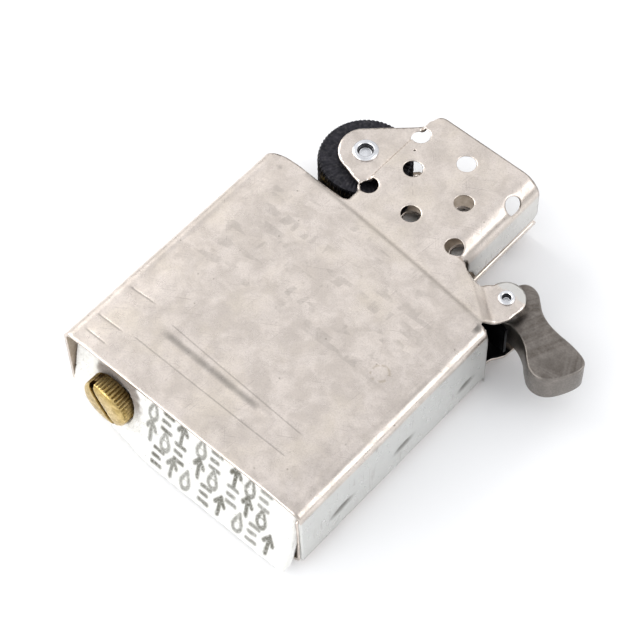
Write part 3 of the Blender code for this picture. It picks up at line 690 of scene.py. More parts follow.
def fold_sheet(u, v):
    """Fold flat points into the shell: places in millimetres, and the numbers painted on them."""
    x, z, out_x, out_z = can_section(u)
    front = u > SIDE_MIDDLE
    sign = np.where(front, 1.0, -1.0)
    level = np.where(front, THICKNESS, 0.0)
    across = np.where(front, u, -u - BACK_SHIFT)

    # Tabs past the notch stay flat where the can's corner bends
    open_flat = smooth((v - NOTCH_FOOT) / 0.5) * (across > 0) * (across < FACE_HALF + ARC)
    x = x * (1 - open_flat) + across * open_flat
    z = z * (1 - open_flat) + level * open_flat

    beyond = v - crease_line(across)
    depth = STEP_DEPTH * smooth((beyond + 0.55) / 1.1) * (np.abs(across) < HALF_WIDTH + 1)
    on_face = (np.abs(across) < FACE_HALF) | (v > NOTCH_FOOT)
    depth = np.where(on_face, depth, 0.0)
    taper = 1 - smooth((-across - 10.0) / 4.0)
    depth *= taper

    # Wheel ear: a crisp step down along the chimney's left edge
    in_ear = smooth((v - 20.0) / 0.7) * smooth((32.9 - v) / 0.8)
    ear_step = smooth((-5.95 - across) / 0.5)
    depth += (EAR_DEPTH - STEP_DEPTH) * ear_step * in_ear * (across < 0) * (v > SHOULDER)

    # Cam ear: a diagonal ramp down
    past = across_joggle(across, v)
    ramp = np.clip((past - 21.75) / 1.65, 0, 1)
    ramp = ramp * 0.75 + smooth(ramp) * 0.25
    ear_share = 1 - smooth((v - 20.0 - 0.75 * np.maximum(across - 12.9, 0.0)) / 0.6)
    depth += (CAM_EAR_DEPTH - STEP_DEPTH) * ramp * (across > 9.0) * (v > NOTCH_FOOT) * ear_share

    # The chimney's rounded right side
    radius = np.where(front, FRONT_BEND, BACK_BEND)
    start = CHIMNEY_RIGHT - radius
    bend_share = smooth((v - 19.5) / 1.1) * (v > NOTCH_FOOT)
    curve = np.maximum(bend_share, 1e-4) / radius
    past_start = np.maximum(across - start, 0.0)
    arc = np.minimum(past_start, radius * math.pi / 2)
    straight = past_start - arc
    angle = curve * arc
    bent_x = start + np.sin(angle) / curve + straight * np.cos(angle)
    bent_drop = (1 - np.cos(angle)) / curve + straight * np.sin(angle)
    bending = (past_start > 0) & (v > 19.5) & ((across < 11.0) | (ear_share < 0.5))
    x = np.where(bending, bent_x, x)
    drop = np.where(bending, bent_drop, 0.0)

    # The rolled left edge, above and below the wheel ear
    roll_share = np.maximum(smooth((20.2 - v) / 0.9), smooth((v - 32.3) / 1.0)) * smooth((v - SHOULDER) / 0.7)
    curl = np.maximum(roll_share, 1e-4) / ROLL_RADIUS
    past_roll = np.maximum(ROLL_START - across, 0.0)
    rolling = (past_roll > 0) & (across > ROLL_END - 0.6) & (roll_share > 0)
    x = np.where(rolling, ROLL_START - np.sin(curl * past_roll) / curl, x)
    drop = np.where(rolling, (1 - np.cos(curl * past_roll)) / curl, drop)

    depth += hole_roll(across, v, FACE_HOLES + BEND_HOLES, HOLE_RADIUS)
    on_front = front & (np.abs(u) < FACE_HALF + 1)
    marks, dark = face_marks(across, v)
    marks = np.where(on_front, marks, 0.0)
    pillow = 0.22 * smooth((np.abs(across) - 12.2) / 4.6) ** 1.5
    pillow *= (1 - smooth((np.abs(across) - FACE_HALF) / ARC)) * (v < NOTCH_FOOT + 6)
    pillow *= 1 - smooth((v - NOTCH_FOOT + 0.6) / 1.2) * (across > 0)
    inward = marks + pillow

    # The stain number: darkening of the pressed marks, with painted shade on the groove and crease, weld
    # marks, and the painted shade below.
    stain_and_painted_light = np.where(on_front, dark, 0.0)
    weld = np.zeros_like(u)
    on_wall = u > FACE_HALF + ARC
    for weld_y, weld_z, reach in WELD_SPOTS:
        along = (v - weld_y) + (z - weld_z) * 0.35
        over = (z - weld_z) - (v - weld_y) * 0.12
        spot = smooth(1.35 - np.hypot(along / reach, over / 0.62))
        weld = np.maximum(weld, spot * on_wall)
    stain_and_painted_light = np.maximum(stain_and_painted_light, weld * 0.85)
    inward = inward + weld * 0.14
    # Painted shade at the can's top right corner, below the cam ear.
    notch_corner_shade = smooth(1.3 - np.hypot((across - 16.9) / 0.9, (v - 13.6) / 0.75)) * front * (u > FACE_HALF)
    stain_and_painted_light = np.maximum(stain_and_painted_light, notch_corner_shade * 0.8)
    # Painted shade: a dark line along the crease where the can steps down to the chimney.
    creased = bell(beyond + 0.1, 0.55) * front * (np.abs(across) < 17) * (across > -12)
    stain_and_painted_light = np.maximum(stain_and_painted_light, creased * 0.42)
    # Painted shade on the cam ear's diagonal step beside the chimney.
    relief = smooth((across - 8.6) / 1.2) * smooth((24.5 - v) / 3.5) * (ear_share < 0.5) * (v > 19.0)
    stain_and_painted_light = np.maximum(stain_and_painted_light, relief * 0.42 * front)
    wander = across + 0.18 * np.sin(v * 0.55)
    # Painted shade: an uneven darker band along the chimney's right bend, for its darker reflection.
    bend_shade = bell(wander - 9.3, 1.9) * (0.62 + 0.38 * np.sin(wander * 6.0)) * (v > 20.5) * front
    stain_and_painted_light = np.maximum(stain_and_painted_light, bend_shade * 0.5)
    # Painted shade: a dark band on the back half's right wall, in the gap under the front flange's edge.
    gap = bell(z - FLANGE_EDGE + 0.4, 0.7) * (across > 9.0) * ~front * (v > 20.0)
    stain_and_painted_light = np.maximum(stain_and_painted_light, gap * 0.8)
    # Painted shade in the crease at the shoulder's left corner, where the sheet drops.
    corner = smooth(1.2 - np.hypot((across + 14.9) / 0.5, (v - 15.6) / 0.35)) * front
    corner = np.maximum(corner, smooth(1 - np.hypot((across + 13.3) / 1.3, (v - 15.2) / 0.14)) * front)
    stain_and_painted_light = np.maximum(stain_and_painted_light, corner * 0.35)

    calm = 1 - 0.7 * smooth((v - 11.0) / 6.0)
    places = np.empty((len(u), 3))
    for i in range(len(u)):
        wave = ripple(x[i], v[i], z[i] + (30.0 if front[i] else 0.0))
        sink = inward[i] + wave * calm[i]
        closed = 1 - open_flat[i]
        places[i] = (x[i] - out_x[i] * sink * closed, v[i], z[i] - out_z[i] * sink * closed)
        places[i, 2] -= sign[i] * (depth[i] + drop[i])
    # Painted shade: an uneven darker band along the can's right fold, for its darker reflection.
    fold = bell(wander - FACE_HALF - 1.2, 1.9) * (0.55 + 0.45 * np.sin(wander * 5.0 + 2.0))
    fold = fold * (v < NOTCH_FOOT) * front
    stain_and_painted_light = np.maximum(stain_and_painted_light, fold * 0.42)
    # Painted reflection: the right side wall and the chimney's flange are marked for a paler colour.
    flange = smooth((across - 10.6) / 0.7) * (v > 20.5) * front
    pale = np.maximum(on_wall * 1.0, flange * 0.8)
    stamped = smooth((u + 16.0) / 2.0) * smooth((14.5 - u) / 2.0) * smooth((v + 1.5) / 2.5)
    stamped = stamped * smooth((15.6 - v) / 1.0)
    # Painted shade inside the can: by the notch on the right, and on the inner side walls near the top.
    inside_painted_shade = smooth((across - 9.5) / 2.0) * smooth((v - 11.0) / 2.0) * smooth((19.2 - v) / 0.6)
    side_painted_shade = smooth((np.abs(u) - FACE_HALF) / 1.0) * smooth((v - 11.0) / 2.0) * (np.abs(u) < 30)
    inside_painted_shade = np.maximum(inside_painted_shade, side_painted_shade)
    return places, {"stain_and_painted_light": stain_and_painted_light, "pale": pale, "stamped": stamped, "inside_painted_shade": inside_painted_shade}


def spaced(start, end, spacing):
    """Evenly spaced numbers from start to end, both included."""
    count = max(1, round(abs(end - start) / spacing))
    return [start + (end - start) * i / count for i in range(count + 1)]


def chain(*runs):
    """Join runs of numbers that share their ends."""
    joined = list(runs[0])
    for run in runs[1:]:
        joined.extend(run[1:])
    return joined


def can_columns():
    """The can's u samples, close together around its bends."""
    edge = FACE_HALF + ARC
    return chain(
        spaced(SHEET_LEFT, SHEET_LEFT + WALL, 0.8), spaced(SHEET_LEFT + WALL, -(BACK_SHIFT + FACE_HALF), 0.2),
        spaced(-(BACK_SHIFT + FACE_HALF), -BACK_START, 0.6), spaced(-BACK_START, -(edge + WALL), 0.22),
        spaced(-(edge + WALL), -edge, 0.5), spaced(-edge, -FACE_HALF, 0.2),
        spaced(-FACE_HALF, FACE_HALF, 0.36), spaced(FACE_HALF, edge, 0.17), spaced(edge, SHEET_RIGHT, 0.28))


def can_rows():
    """The can's v samples, close together along the marks on its front."""
    return chain(
        spaced(-SHOULDER, -15.6, 0.3), spaced(-15.6, -15.1, 0.09), spaced(-15.1, -13.2, 0.32),
        spaced(-13.2, -12.4, 0.085), spaced(-12.4, -11.4, 0.3), spaced(-11.4, -9.9, 0.14),
        spaced(-9.9, -8.5, 0.085), spaced(-8.5, -7.7, 0.1), spaced(-7.7, STRIP_FOOT, 0.36))


def inside(points, outline):
    """Which points lie inside a closed outline."""
    x = points[:, 0]
    y = points[:, 1]
    result = np.zeros(len(points), bool)
    before = outline[-1]
    for here in outline:
        crosses = (here[1] > y) != (before[1] > y)
        with np.errstate(divide="ignore", invalid="ignore"):
            limit = (before[0] - here[0]) * (y - here[1]) / (before[1] - here[1]) + here[0]
        result ^= crosses & (x < limit)
        before = here
    return result


def arc(centre, radius, start, end, steps):
    """Points on an arc, angles in degrees."""
    points = []
    for step in range(steps + 1):
        angle = math.radians(start + (end - start) * step / steps)
        points.append((centre[0] + radius * math.cos(angle), centre[1] + radius * math.sin(angle)))
    return points


def chimney_side(front):
    """Outline above the notch for one face, from the right wall to the shoulder's left, as (x, y)."""
    radius = FRONT_BEND if front else BACK_BEND
    wall_end = FLANGE_EDGE if front else THICKNESS - BACK_EDGE
    flange = CHIMNEY_RIGHT - radius + radius * math.pi / 2 + (THICKNESS - STEP_DEPTH - radius - wall_end)
    outline = [(16.9, NOTCH_FOOT), (16.62, 14.75), (16.75, 15.3), (17.2, 16.1), (17.75, 16.9), (18.2, 17.7)]
    outline += arc(CAM_CENTRE, CAM_EAR_RADIUS, -18.0, 168.0, 30)
    outline += [(13.25, 19.5), (13.05, 18.85), (12.7, 18.7), (12.0, 18.72), (11.2, 18.9), (10.5, 19.25)]
    outline += [(10.0, 19.75), (9.85, 20.1), (9.85, 20.4), (10.05, 20.7), (10.4, 20.85)]
    outline.append((min(flange - 0.4, 12.4), 21.1))
    outline += [(13.6, 22.0), (flange, 22.6)] if front else [(flange, 21.5)]
    outline += arc((flange - 0.8, CHIMNEY_TOP - 0.8 - 0.1), 0.8, 0.0, 90.0, 6)
    outline += arc((ROLL_END + 1.9, CHIMNEY_TOP - 1.5 - 0.1), 1.5, 90.0, 150.0, 8)
    outline += [(ROLL_END + 0.35, 32.6), (ROLL_END + 0.05, 32.0)]
    outline += [(-7.0, 31.35), (-8.5, 29.95), (-10.3, 28.35)]
    outline += arc(WHEEL_CENTRE, EAR_RADIUS, 132.0, 264.0, 30)
    outline += [(-8.1, 20.85), (-6.9, 20.62), (ROLL_END, 20.4)]
    outline += [(ROLL_END, SHOULDER + 0.5), (ROLL_END - 0.5, SHOULDER)]
    return outline


def densified(outline, spacing):
    """The same open outline with no gap longer than a spacing."""
    points = []
    for here, after in zip(outline, outline[1:]):
        count = max(1, math.ceil(math.dist(here, after) / spacing - 1e-6))
        for step in range(count):
            share = step / count
            points.append((here[0] + (after[0] - here[0]) * share, here[1] + (after[1] - here[1]) * share))
    return points + outline[-1:]


def strip_outline(columns):
    """Outline of the upper part of the sheet: strip, chimney halves and ears."""
    outline = [(SHEET_RIGHT, STRIP_FOOT), (SHEET_RIGHT, NOTCH_FOOT)]
    outline += [(u, NOTCH_FOOT) for u in reversed(columns) if FACE_HALF + 0.55 < u < SHEET_RIGHT - 0.01]
    outline += chimney_side(True)
    corner_start = FACE_HALF - 1.6
    corner_end = FACE_HALF + ARC + 0.6
    side_end = FACE_HALF + 2 * ARC + WALL
    outline.append((-corner_start, SHOULDER))
    for share in np.linspace(0.1, 1.0, 10):
        drop = LEFT_CORNER_DROP * smooth(share)
        outline.append((-(corner_start + (corner_end - corner_start) * share), SHOULDER - drop))
    back_corner = side_end - ARC - 0.6
    for share in np.linspace(0.0, 1.0, 11):
        drop = LEFT_CORNER_DROP * (1 - smooth(share))
        outline.append((-(back_corner + (side_end + 1.6 - back_corner) * share), SHOULDER - drop))
    outline += [(-x - BACK_SHIFT, y) for x, y in reversed(chimney_side(False))]
    tuck_end = -(BACK_SHIFT + FACE_HALF + 0.55)
    outline += [(u, NOTCH_FOOT) for u in reversed(columns) if SHEET_LEFT + 0.01 < u < tuck_end]
    outline += [(SHEET_LEFT, NOTCH_FOOT), (SHEET_LEFT, STRIP_FOOT)]
    return densified(outline, 0.26) + [(u, STRIP_FOOT) for u in columns[1:-1]]


def facing_up(face, points):
    """The same flat face, turned anticlockwise."""
    area = 0.0
    for here, after in zip(face, face[1:] + face[:1]):
        area += points[here][0] * points[after][1] - points[after][0] * points[here][1]
    return face if area > 0 else face[::-1]


def flat_strip(columns):
    """Triangles of the upper part of the sheet, laid flat, with every hole left open."""
    outline = strip_outline(columns)
    rings = []
    holes = []
    pierced = [(x, y, HOLE_RADIUS) for x, y in FACE_HOLES + BEND_HOLES]
    pierced += [(WHEEL_CENTRE.x, WHEEL_CENTRE.y, 1.35), (CAM_CENTRE.x, CAM_CENTRE.y, 0.85)]
    pierced += [(-4.7, 28.1, 0.17)]
    for front in (True, False):
        for x, y, radius in pierced:
            centre = (x, y) if front else (-x - BACK_SHIFT, y)
            steps = 44 if front else 28
            steps = 10 if radius < 0.5 else steps
            holes.append(arc(centre, radius, 0.0, 360.0, steps)[:-1])
            for widening in (0.09, 0.2):
                rings.append((centre, radius + widening, steps))
    fixed = outline + [point for hole in holes for point in hole]
    loops = [outline] + holes
    constraint = []
    shift = 0
    for loop in loops:
        count = len(loop)
        constraint += [(shift + i, shift + (i + 1) % count) for i in range(count)]
        shift += count
    ring_points = np.array([
        point for centre, radius, steps in rings for point in arc(centre, radius, 0.0, 360.0, steps)[:-1]])

    scattered = []
    for low, high, spacing in ((-FACE_HALF - 3, SHEET_RIGHT, 0.3), (SHEET_LEFT, -FACE_HALF - 3.2, 0.5)):
        row = 0
        for v in np.arange(STRIP_FOOT + spacing * 0.8, CHIMNEY_TOP, spacing * 0.866):
            for u in np.arange(low + (row % 2) * spacing / 2, high, spacing):
                scattered.append((u, v))
            row += 1
    for v in np.arange(20.0, 33.2, 0.2):
        for x in (-6.5, -6.33, -6.2, -6.07, -5.9):
            scattered.append((x, v))
    scattered = np.array(scattered)
    keep = inside(scattered, outline)
    for centre, radius, _ in rings:
        keep &= np.hypot(scattered[:, 0] - centre[0], scattered[:, 1] - centre[1]) > radius + 0.12
    scattered = scattered[keep]
    border = np.array(outline)
    near = np.zeros(len(scattered), bool)
    for start in range(0, len(scattered), 2000):
        part = scattered[start:start + 2000]
        aside = part[:, None, 0] - border[None, :, 0]
        ahead = part[:, None, 1] - border[None, :, 1]
        near[start:start + 2000] = np.hypot(aside, ahead).min(axis=1) < 0.17
    scattered = scattered[~near]
    keep_ring = inside(ring_points, outline)
    everything = [Vector(point) for point in fixed]
    everything += [Vector(point) for point in ring_points[keep_ring]] + [Vector(point) for point in scattered]
    made = delaunay_2d_cdt(everything, constraint, [], 0, 1e-7)
    points = np.array([tuple(point) for point in made[0]])
    faces = [tuple(face) for face in made[2]]
    middles = np.array([points[list(face)].mean(axis=0) for face in faces])
    keep = inside(middles, outline)
    for hole in holes:
        keep &= ~inside(middles, hole)
    return points, [facing_up(face, points) for face, kept in zip(faces, keep) if kept]


def build_shell(outer_material, inner_material):
    """The can, chimney and ears, as one folded sheet."""
    columns = can_columns()
    rows = can_rows()
    flat = [(u, v) for v in rows for u in columns]
    count = len(columns)
    faces = []
    for row in range(len(rows) - 1):
        for column in range(count - 1):
            here = row * count + column
            faces.append((here, here + 1, here + count + 1, here + count))
    strip_points, strip_faces = flat_strip(columns)
    shift = len(flat)
    flat += [tuple(point) for point in strip_points]
    faces += [tuple(index + shift for index in face) for face in strip_faces]
    flat = np.array(flat)
    places, painted = fold_sheet(flat[:, 0], flat[:, 1])
    shell = mesh_object("shell_sheet", places, faces, [outer_material, inner_material], painted, 50.0)
    mesh_data = bmesh.new()
    mesh_data.from_mesh(shell.data)
    bmesh.ops.remove_doubles(mesh_data, verts=mesh_data.verts, dist=1e-6)
    mesh_data.to_mesh(shell.data)
    mesh_data.free()
    thicken = shell.modifiers.new("thicken", "SOLIDIFY")
    thicken.thickness = SHEET * MM
    thicken.offset = -1.0
    thicken.use_even_offset = False
    thicken.material_offset = 1
    thicken.material_offset_rim = 0
    apply_modifiers(shell)
    return place(shell, "case", "stainless", "insert_shell")


# Small parts -------------------------------------------------------------


def build_wheel(material):
    """Flint wheel: crossed cuts around the rim and radial cuts that run out on the faces."""
    teeth = 66
    steps = teeth * 6
    half = WHEEL_HALF
    rim_steps = 44
    profile = [(1.35, -half + 0.35), (2.6, -half + 0.35), (2.8, -half)]
    profile += [(radius, -half) for radius in (3.4, 4.1, 4.7, 5.2, WHEEL_RADIUS - 0.28)]
    first_rim = len(profile)
    for i in range(rim_steps + 1):
        profile.append((WHEEL_RADIUS, -half + 0.28 + (2 * half - 0.56) * i / rim_steps))
    last_rim = len(profile) - 1
    profile += [(radius, half) for radius in (WHEEL_RADIUS - 0.28, 5.2, 4.7, 4.1, 3.4)]
    profile += [(2.8, half), (2.6, half - 0.35), (1.35, half - 0.35)]

    def cut(angle, along, lean):
        phase = (angle * teeth / (2 * math.pi) + along * lean) % 1.0
        return abs(phase * 2 - 1)

    def shape(index, angle):
        along = profile[index][1]
        if first_rim <= index <= last_rim:
            return -0.26 * max(cut(angle, along, 0.35), cut(angle, along, -0.35)) ** 1.4
        if index in (first_rim - 1, last_rim + 1):
            return -0.13 * cut(angle, along, 0.35 * math.copysign(1.0, along))
        return 0.0

    points, faces = turned(profile, steps, Matrix.Translation(WHEEL_CENTRE), shape)
    crest = []
    for step in range(steps):
        angle = 2 * math.pi * step / steps
        for index, (radius, along) in enumerate(profile):
            point = points[step * len(profile) + index]
            if 3.0 < radius < WHEEL_RADIUS:
                fade = (radius - 3.0) / (WHEEL_RADIUS - 3.0)
                dip = 0.07 * fade * cut(angle, along, 0.35 * math.copysign(1.0, along))
                point.z -= math.copysign(dip, along)
            crest.append(1.0 if first_rim <= index <= last_rim and shape(index, angle) > -0.03 else 0.25)
    wheel = mesh_object("knurled_wheel", points, faces, [material], {"stain_and_painted_light": crest}, 32.0)
    return place(closed_up(wheel), "wheel", "wheel_black", "flint_wheel")


def cam_outline():
    """Smooth outline of the cam, around its pivot, with the way out at each point."""
    marks = arc((0.0, 0.0), 2.0, 140.0, 300.0, 8) + [
        (1.9, -1.45), (3.4, -1.75), (4.8, -2.55), (6.0, -3.7), (7.0, -4.5), (8.1, -4.8), (9.3, -4.5),
        (10.3, -3.6), (11.2, -2.0), (11.6, -0.7), (11.35, 0.25), (10.4, 0.8), (8.6, 1.2), (6.6, 1.4),
        (5.0, 1.75), (3.6, 2.4), (2.5, 3.35), (1.7, 4.05), (0.7, 4.4), (-0.3, 4.2), (-0.98, 3.35),
        (-1.25, 2.3)]
    count = len(marks)
    outline = []
    for index in range(count):
        four = [Vector(marks[(index + shift) % count]) for shift in (-1, 0, 1, 2)]
        for step in range(6):
            outline.append(spline_point(four, step / 6))
    result = []
    for index, here in enumerate(outline):
        run = outline[(index + 1) % len(outline)] - outline[index - 1]
        result.append((here, Vector((run.y, -run.x)).normalized()))
    return result


def build_cam(material):
    """Cam lever with rounded, worn edges and an open bore; its sides and edges are painted lighter than its
    faces, as painted light.
    """
    low, high = box_mm("cam_lever")
    outline = cam_outline()
    edge = 0.24
    levels = []
    for step in range(7):
        angle = math.radians(90.0 * step / 6)
        levels.append((edge * (1 - math.sin(angle)), low.z + edge * (1 - math.cos(angle))))
    levels += [(inset, low.z + high.z - z) for inset, z in reversed(levels)]
    painted_side_light = []
    bore = arc((0.0, 0.0), 0.85, 0.0, 360.0, 28)[:-1]
    points = []
    for inset, z in levels:
        for here, out in outline:
            place_at = here - out * inset
            points.append((place_at.x + CAM_CENTRE.x, place_at.y + CAM_CENTRE.y, z))
            # Painted light: the side and rounded edges are painted lighter than the faces.
            painted_side_light.append(0.14 if inset < edge * 0.9 else 0.1)
    count = len(outline)
    faces = []
    for level in range(len(levels) - 1):
        for i in range(count):
            j = (i + 1) % count
            here = level * count
            faces.append((here + i, here + j, here + count + j, here + count + i))
    loop = [here - out * edge for here, out in outline]
    flat = loop + [Vector(point) for point in bore]
    total = len(bore)
    limits = [(i, (i + 1) % count) for i in range(count)]
    limits += [(count + i, count + (i + 1) % total) for i in range(total)]
    made = delaunay_2d_cdt(flat, limits, [], 0, 1e-7)
    spots = np.array([tuple(point) for point in made[0]])
    middles = np.array([spots[list(face)].mean(axis=0) for face in made[2]])
    keep = inside(middles, [tuple(point) for point in loop]) & ~inside(middles, bore)
    caps = [face for face, kept in zip(made[2], keep) if kept]
    for z, flip in ((low.z, True), (high.z, False)):
        cap_points = [(x + CAM_CENTRE.x, y + CAM_CENTRE.y, z) for x, y in spots]
        add_part(points, faces, cap_points, [tuple(face[::-1]) if flip else tuple(face) for face in caps])
    wall = len(points)
    for z in (low.z, high.z):
        points += [(x + CAM_CENTRE.x, y + CAM_CENTRE.y, z) for x, y in bore]
    for i in range(total):
        j = (i + 1) % total
        faces.append((wall + i, wall + total + i, wall + total + j, wall + j))
    painted_side_light += [0.0] * (len(points) - len(painted_side_light))
    cam = mesh_object("cam_plate", points, faces, [material], {"stain_and_painted_light": painted_side_light}, 40.0)
    return place(closed_up(cam), "cam", "cam_steel", "cam_lever")


def build_rivet(name, node, bore, flange, ear_depth, material):
    """Semi-tubular rivet with a rolled lip and a blind bore at both ends."""
    centre = middle_mm(node)
    low, _ = box_mm(node)
    body = bore + 0.3
    seat = ear_depth - 0.03
    end = low.z
    floor = end + 0.75
    corners = [
        (0.0, floor, 0.0), (bore * 0.8, floor, 0.1), (bore * 0.94, end + 0.5, 0.25),
        (bore + 0.02, end + 0.1, 0.06), (bore + 0.12, end, 0.06), (flange - 0.2, end, 0.16),
        (flange, end + 0.14, 0.1), (flange, seat, 0.04),
        (body, seat, 0.0)]
    lower = rounded_profile(corners, 4)
    upper = [(radius, THICKNESS - along) for radius, along in reversed(lower)]
    profile = lower + upper
    points, faces = turned(profile, 56, Matrix.Translation((centre.x, centre.y, 0.0)))
    # Painted shade: the bores' walls are painted dark, their floors are left unpainted.
    painted_numbers = []
    for radius, along in profile * 56:
        sunk = min(along, THICKNESS - along) - end
        in_bore = radius < bore + 0.06 and sunk > 0.1
        painted_numbers.append((0.0 if radius < bore * 0.81 else 0.9) if in_bore else 0.0)
    rivet = mesh_object(name, points, faces, [material], {"stain_and_painted_light": painted_numbers}, 45.0)
    return place(closed_up(rivet), "case", "rivet_steel", node)


def along_y(x, z):
    """Matrix that lays a part turned about Z along +Y."""
    return Matrix.Translation((x, 0.0, z)) @ Matrix.Rotation(math.radians(-90.0), 4, "X")


def build_screw(material):
    """Flint screw: domed knurled head with a slot, and a threaded shank."""
    low, high = box_mm("flint_screw")
    radius = (high.x - low.x) / 2
    face = low.y
    base = face + SCREW_HEAD_DEPTH
    knurls = 40
    shank = 1.35
    pitch = 0.7
    profile = [(0.0, face), (radius * 0.35, face + 0.005), (radius * 0.62, face + 0.03)]
    profile += [(radius * 0.8, face + 0.09), (radius * 0.9, face + 0.2)]
    profile += [(radius * 0.965, face + 0.38), (radius * 0.99, face + 0.5)]
    first_knurl = len(profile)
    profile += [(radius, face + 0.62), (radius, base - 0.35), (radius * 0.985, base - 0.16)]
    last_knurl = len(profile) - 1
    profile += [(radius * 0.93, base - 0.03), (radius * 0.85, base), (shank * 0.85, base)]
    along = base + 0.5
    while along + pitch < high.y - 0.4:
        profile.append((shank - 0.2, along))
        profile += [(shank - 0.03, along + pitch * 0.42), (shank - 0.03, along + pitch * 0.55)]
        along += pitch
    profile += [(shank - 0.2, along), (shank - 0.35, high.y), (0.0, high.y)]

    def shape(index, angle):
        if not first_knurl <= index <= last_knurl:
            return 0.0
        phase = (angle * knurls / (2 * math.pi)) % 1.0
        return -0.2 * abs(phase * 2 - 1) ** 1.5

    points, faces = turned(profile, knurls * 6, along_y(TUBE_X, MIDDLE), shape)
    screw = mesh_object("knurled_screw", points, faces, [material], {}, 35.0)
    closed_up(screw)
    slot_points = []
    turn = Matrix.Translation((TUBE_X, 0.0, MIDDLE)) @ Matrix.Rotation(math.radians(SLOT_TURN), 4, "Y")
    reach = radius + 1.0
    for x in (-reach, reach):
        for y in (face - 1.0, face + 1.05):
            for z in (-SLOT_HALF, SLOT_HALF):
                slot_points.append(turn @ Vector((x, y, z)))
    slot_faces = [(0, 1, 3, 2), (4, 6, 7, 5), (0, 4, 5, 1), (2, 3, 7, 6), (0, 2, 6, 4), (1, 5, 7, 3)]
    cutter = closed_up(mesh_object("slot_cutter", slot_points, slot_faces, [], {}))
    cut_away(screw, cutter)
    soften_edges(screw, 0.05, 2, 60.0)
    apply_modifiers(screw)
    bpy.data.objects.remove(cutter)
    layer = screw.data.attributes.new("stain_and_painted_light", "FLOAT", "POINT")
    values = []
    slot_angle = math.radians(SLOT_TURN)
    for vertex in screw.data.vertices:
        point = vertex.co / MM
        offset = Vector((point.x - TUBE_X, point.z - MIDDLE))
        near_base = smooth((point.y - (base - 1.4)) / 1.5)
        across = abs(offset.x * math.sin(slot_angle) + offset.y * math.cos(slot_angle))
        in_slot = 1.0 if across < SLOT_HALF + 0.02 and point.y > face + 0.25 else 0.0
        values.append(max(0.75 * near_base * (0.45 + 0.55 * smooth((offset.y + 1.0) / 2.5)), 0.9 * in_slot))
    layer.data.foreach_set("value", np.array(values, np.float32))
    return place(screw, "screw", "brass", "flint_screw")


def build_tube(material):
    """Brass tube, its top cut to the wheel's curve."""
    bore = TUBE_RADIUS - 0.6
    top = TUBE_HIGH.y + 0.05
    corners = (
        (bore, TUBE_LOW.y, 0.08), (TUBE_RADIUS, TUBE_LOW.y, 0.12), (TUBE_RADIUS, top, 0.0), (bore, top, 0.0))
    points, faces = turned(rounded_profile(corners, 4), 64, along_y(TUBE_X, MIDDLE))
    tube = closed_up(mesh_object("brass_tube", points, faces, [material], {}, 45.0))
    reach = WHEEL_RADIUS + 0.17
    profile = ((0.0, -6.0), (reach, -6.0), (reach, 6.0), (0.0, 6.0))
    points, faces = turned(profile, 180, Matrix.Translation(WHEEL_CENTRE))
    cutter = closed_up(mesh_object("tube_cutter", points, faces, [], {}))
    cut_away(tube, cutter)
    soften_edges(tube, 0.06, 2, 50.0)
    apply_modifiers(tube)
    bpy.data.objects.remove(cutter)
    return place(tube, "case", "brass", "flint_tube")


def build_coil(material):
    """The flint's coil spring, ground flat at its ends, which rides on the screw's travel."""
    low, high = box_mm("flint_spring")
    foot = low.y + COIL_WIRE
    rise = high.y - low.y - 2 * COIL_WIRE
    turns = round(rise / COIL_PITCH)
    path = []
    for step in range(turns * 28 + 1):
        share = step / (turns * 28)
        angle = 2 * math.pi * turns * share
        eased = 0.5 - 0.5 * math.cos(math.pi * share)
        along = foot + rise * (share * 0.94 + eased * 0.06)
        aside = COIL_RADIUS * math.cos(angle)
        path.append(Vector((TUBE_X + aside, along, MIDDLE + COIL_RADIUS * math.sin(angle))))
    points, faces = tube_along(path, [COIL_WIRE * 0.94] * len(path), 8)
    coil = mesh_object("wound_coil", points, faces, [material], {}, 60.0)
    place(closed_up(coil), "screw_travel", "spring_steel", "flint_spring")
    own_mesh(coil)


# Felt --------------------------------------------------------------------


def felt_outer(x, front):
    """Y of the felt's outer face at an X, at its front or back edge, from the CAD felt's own corners."""
    low, _ = box_mm("felt_anchor")
    flap_low, _ = box_mm("felt_flap")
    share = min(max((x - low.x) / 13.4, 0.0), 1.0)
    back = -17.7 + (flap_low.y + 17.7) * share
    ahead = -15.2 + (-16.7 + 15.2) * share
    return ahead if front else back


def stroke(x, y, start, end, width):
    """1 on a straight stroke between two points, falling to 0 at its width."""
    run = np.array(end, float) - np.array(start, float)
    share = np.clip(((x - start[0]) * run[0] + (y - start[1]) * run[1]) / (run @ run), 0, 1)
    return smooth((width - np.hypot(x - start[0] - run[0] * share, y - start[1] - run[1] * share)) / 0.12)


def arrow_sign(x, y):
    """A lift arrow, in a cell one wide and one high."""
    ink = stroke(x, y, (0.5, 0.05), (0.5, 0.95), 0.22)
    ink = np.maximum(ink, stroke(x, y, (0.5, 0.95), (0.12, 0.6), 0.2))
    return np.maximum(ink, stroke(x, y, (0.5, 0.95), (0.88, 0.6), 0.2))


def drop_sign(x, y):
    """An outlined fuel drop."""
    ring = smooth((0.2 - np.abs(np.hypot(x - 0.5, (y - 0.35) * 1.15) - 0.34)) / 0.12)
    ink = ring * (y < 0.55)
    ink = np.maximum(ink, stroke(x, y, (0.17, 0.46), (0.5, 0.98), 0.18))
    return np.maximum(ink, stroke(x, y, (0.83, 0.46), (0.5, 0.98), 0.18))


def bars_sign(x, y):
    """Three level bars."""
    ink = stroke(x, y, (0.1, 0.1), (0.9, 0.1), 0.17)
    ink = np.maximum(ink, stroke(x, y, (0.1, 0.5), (0.7, 0.5), 0.17))
    return np.maximum(ink, stroke(x, y, (0.1, 0.9), (0.9, 0.9), 0.17))


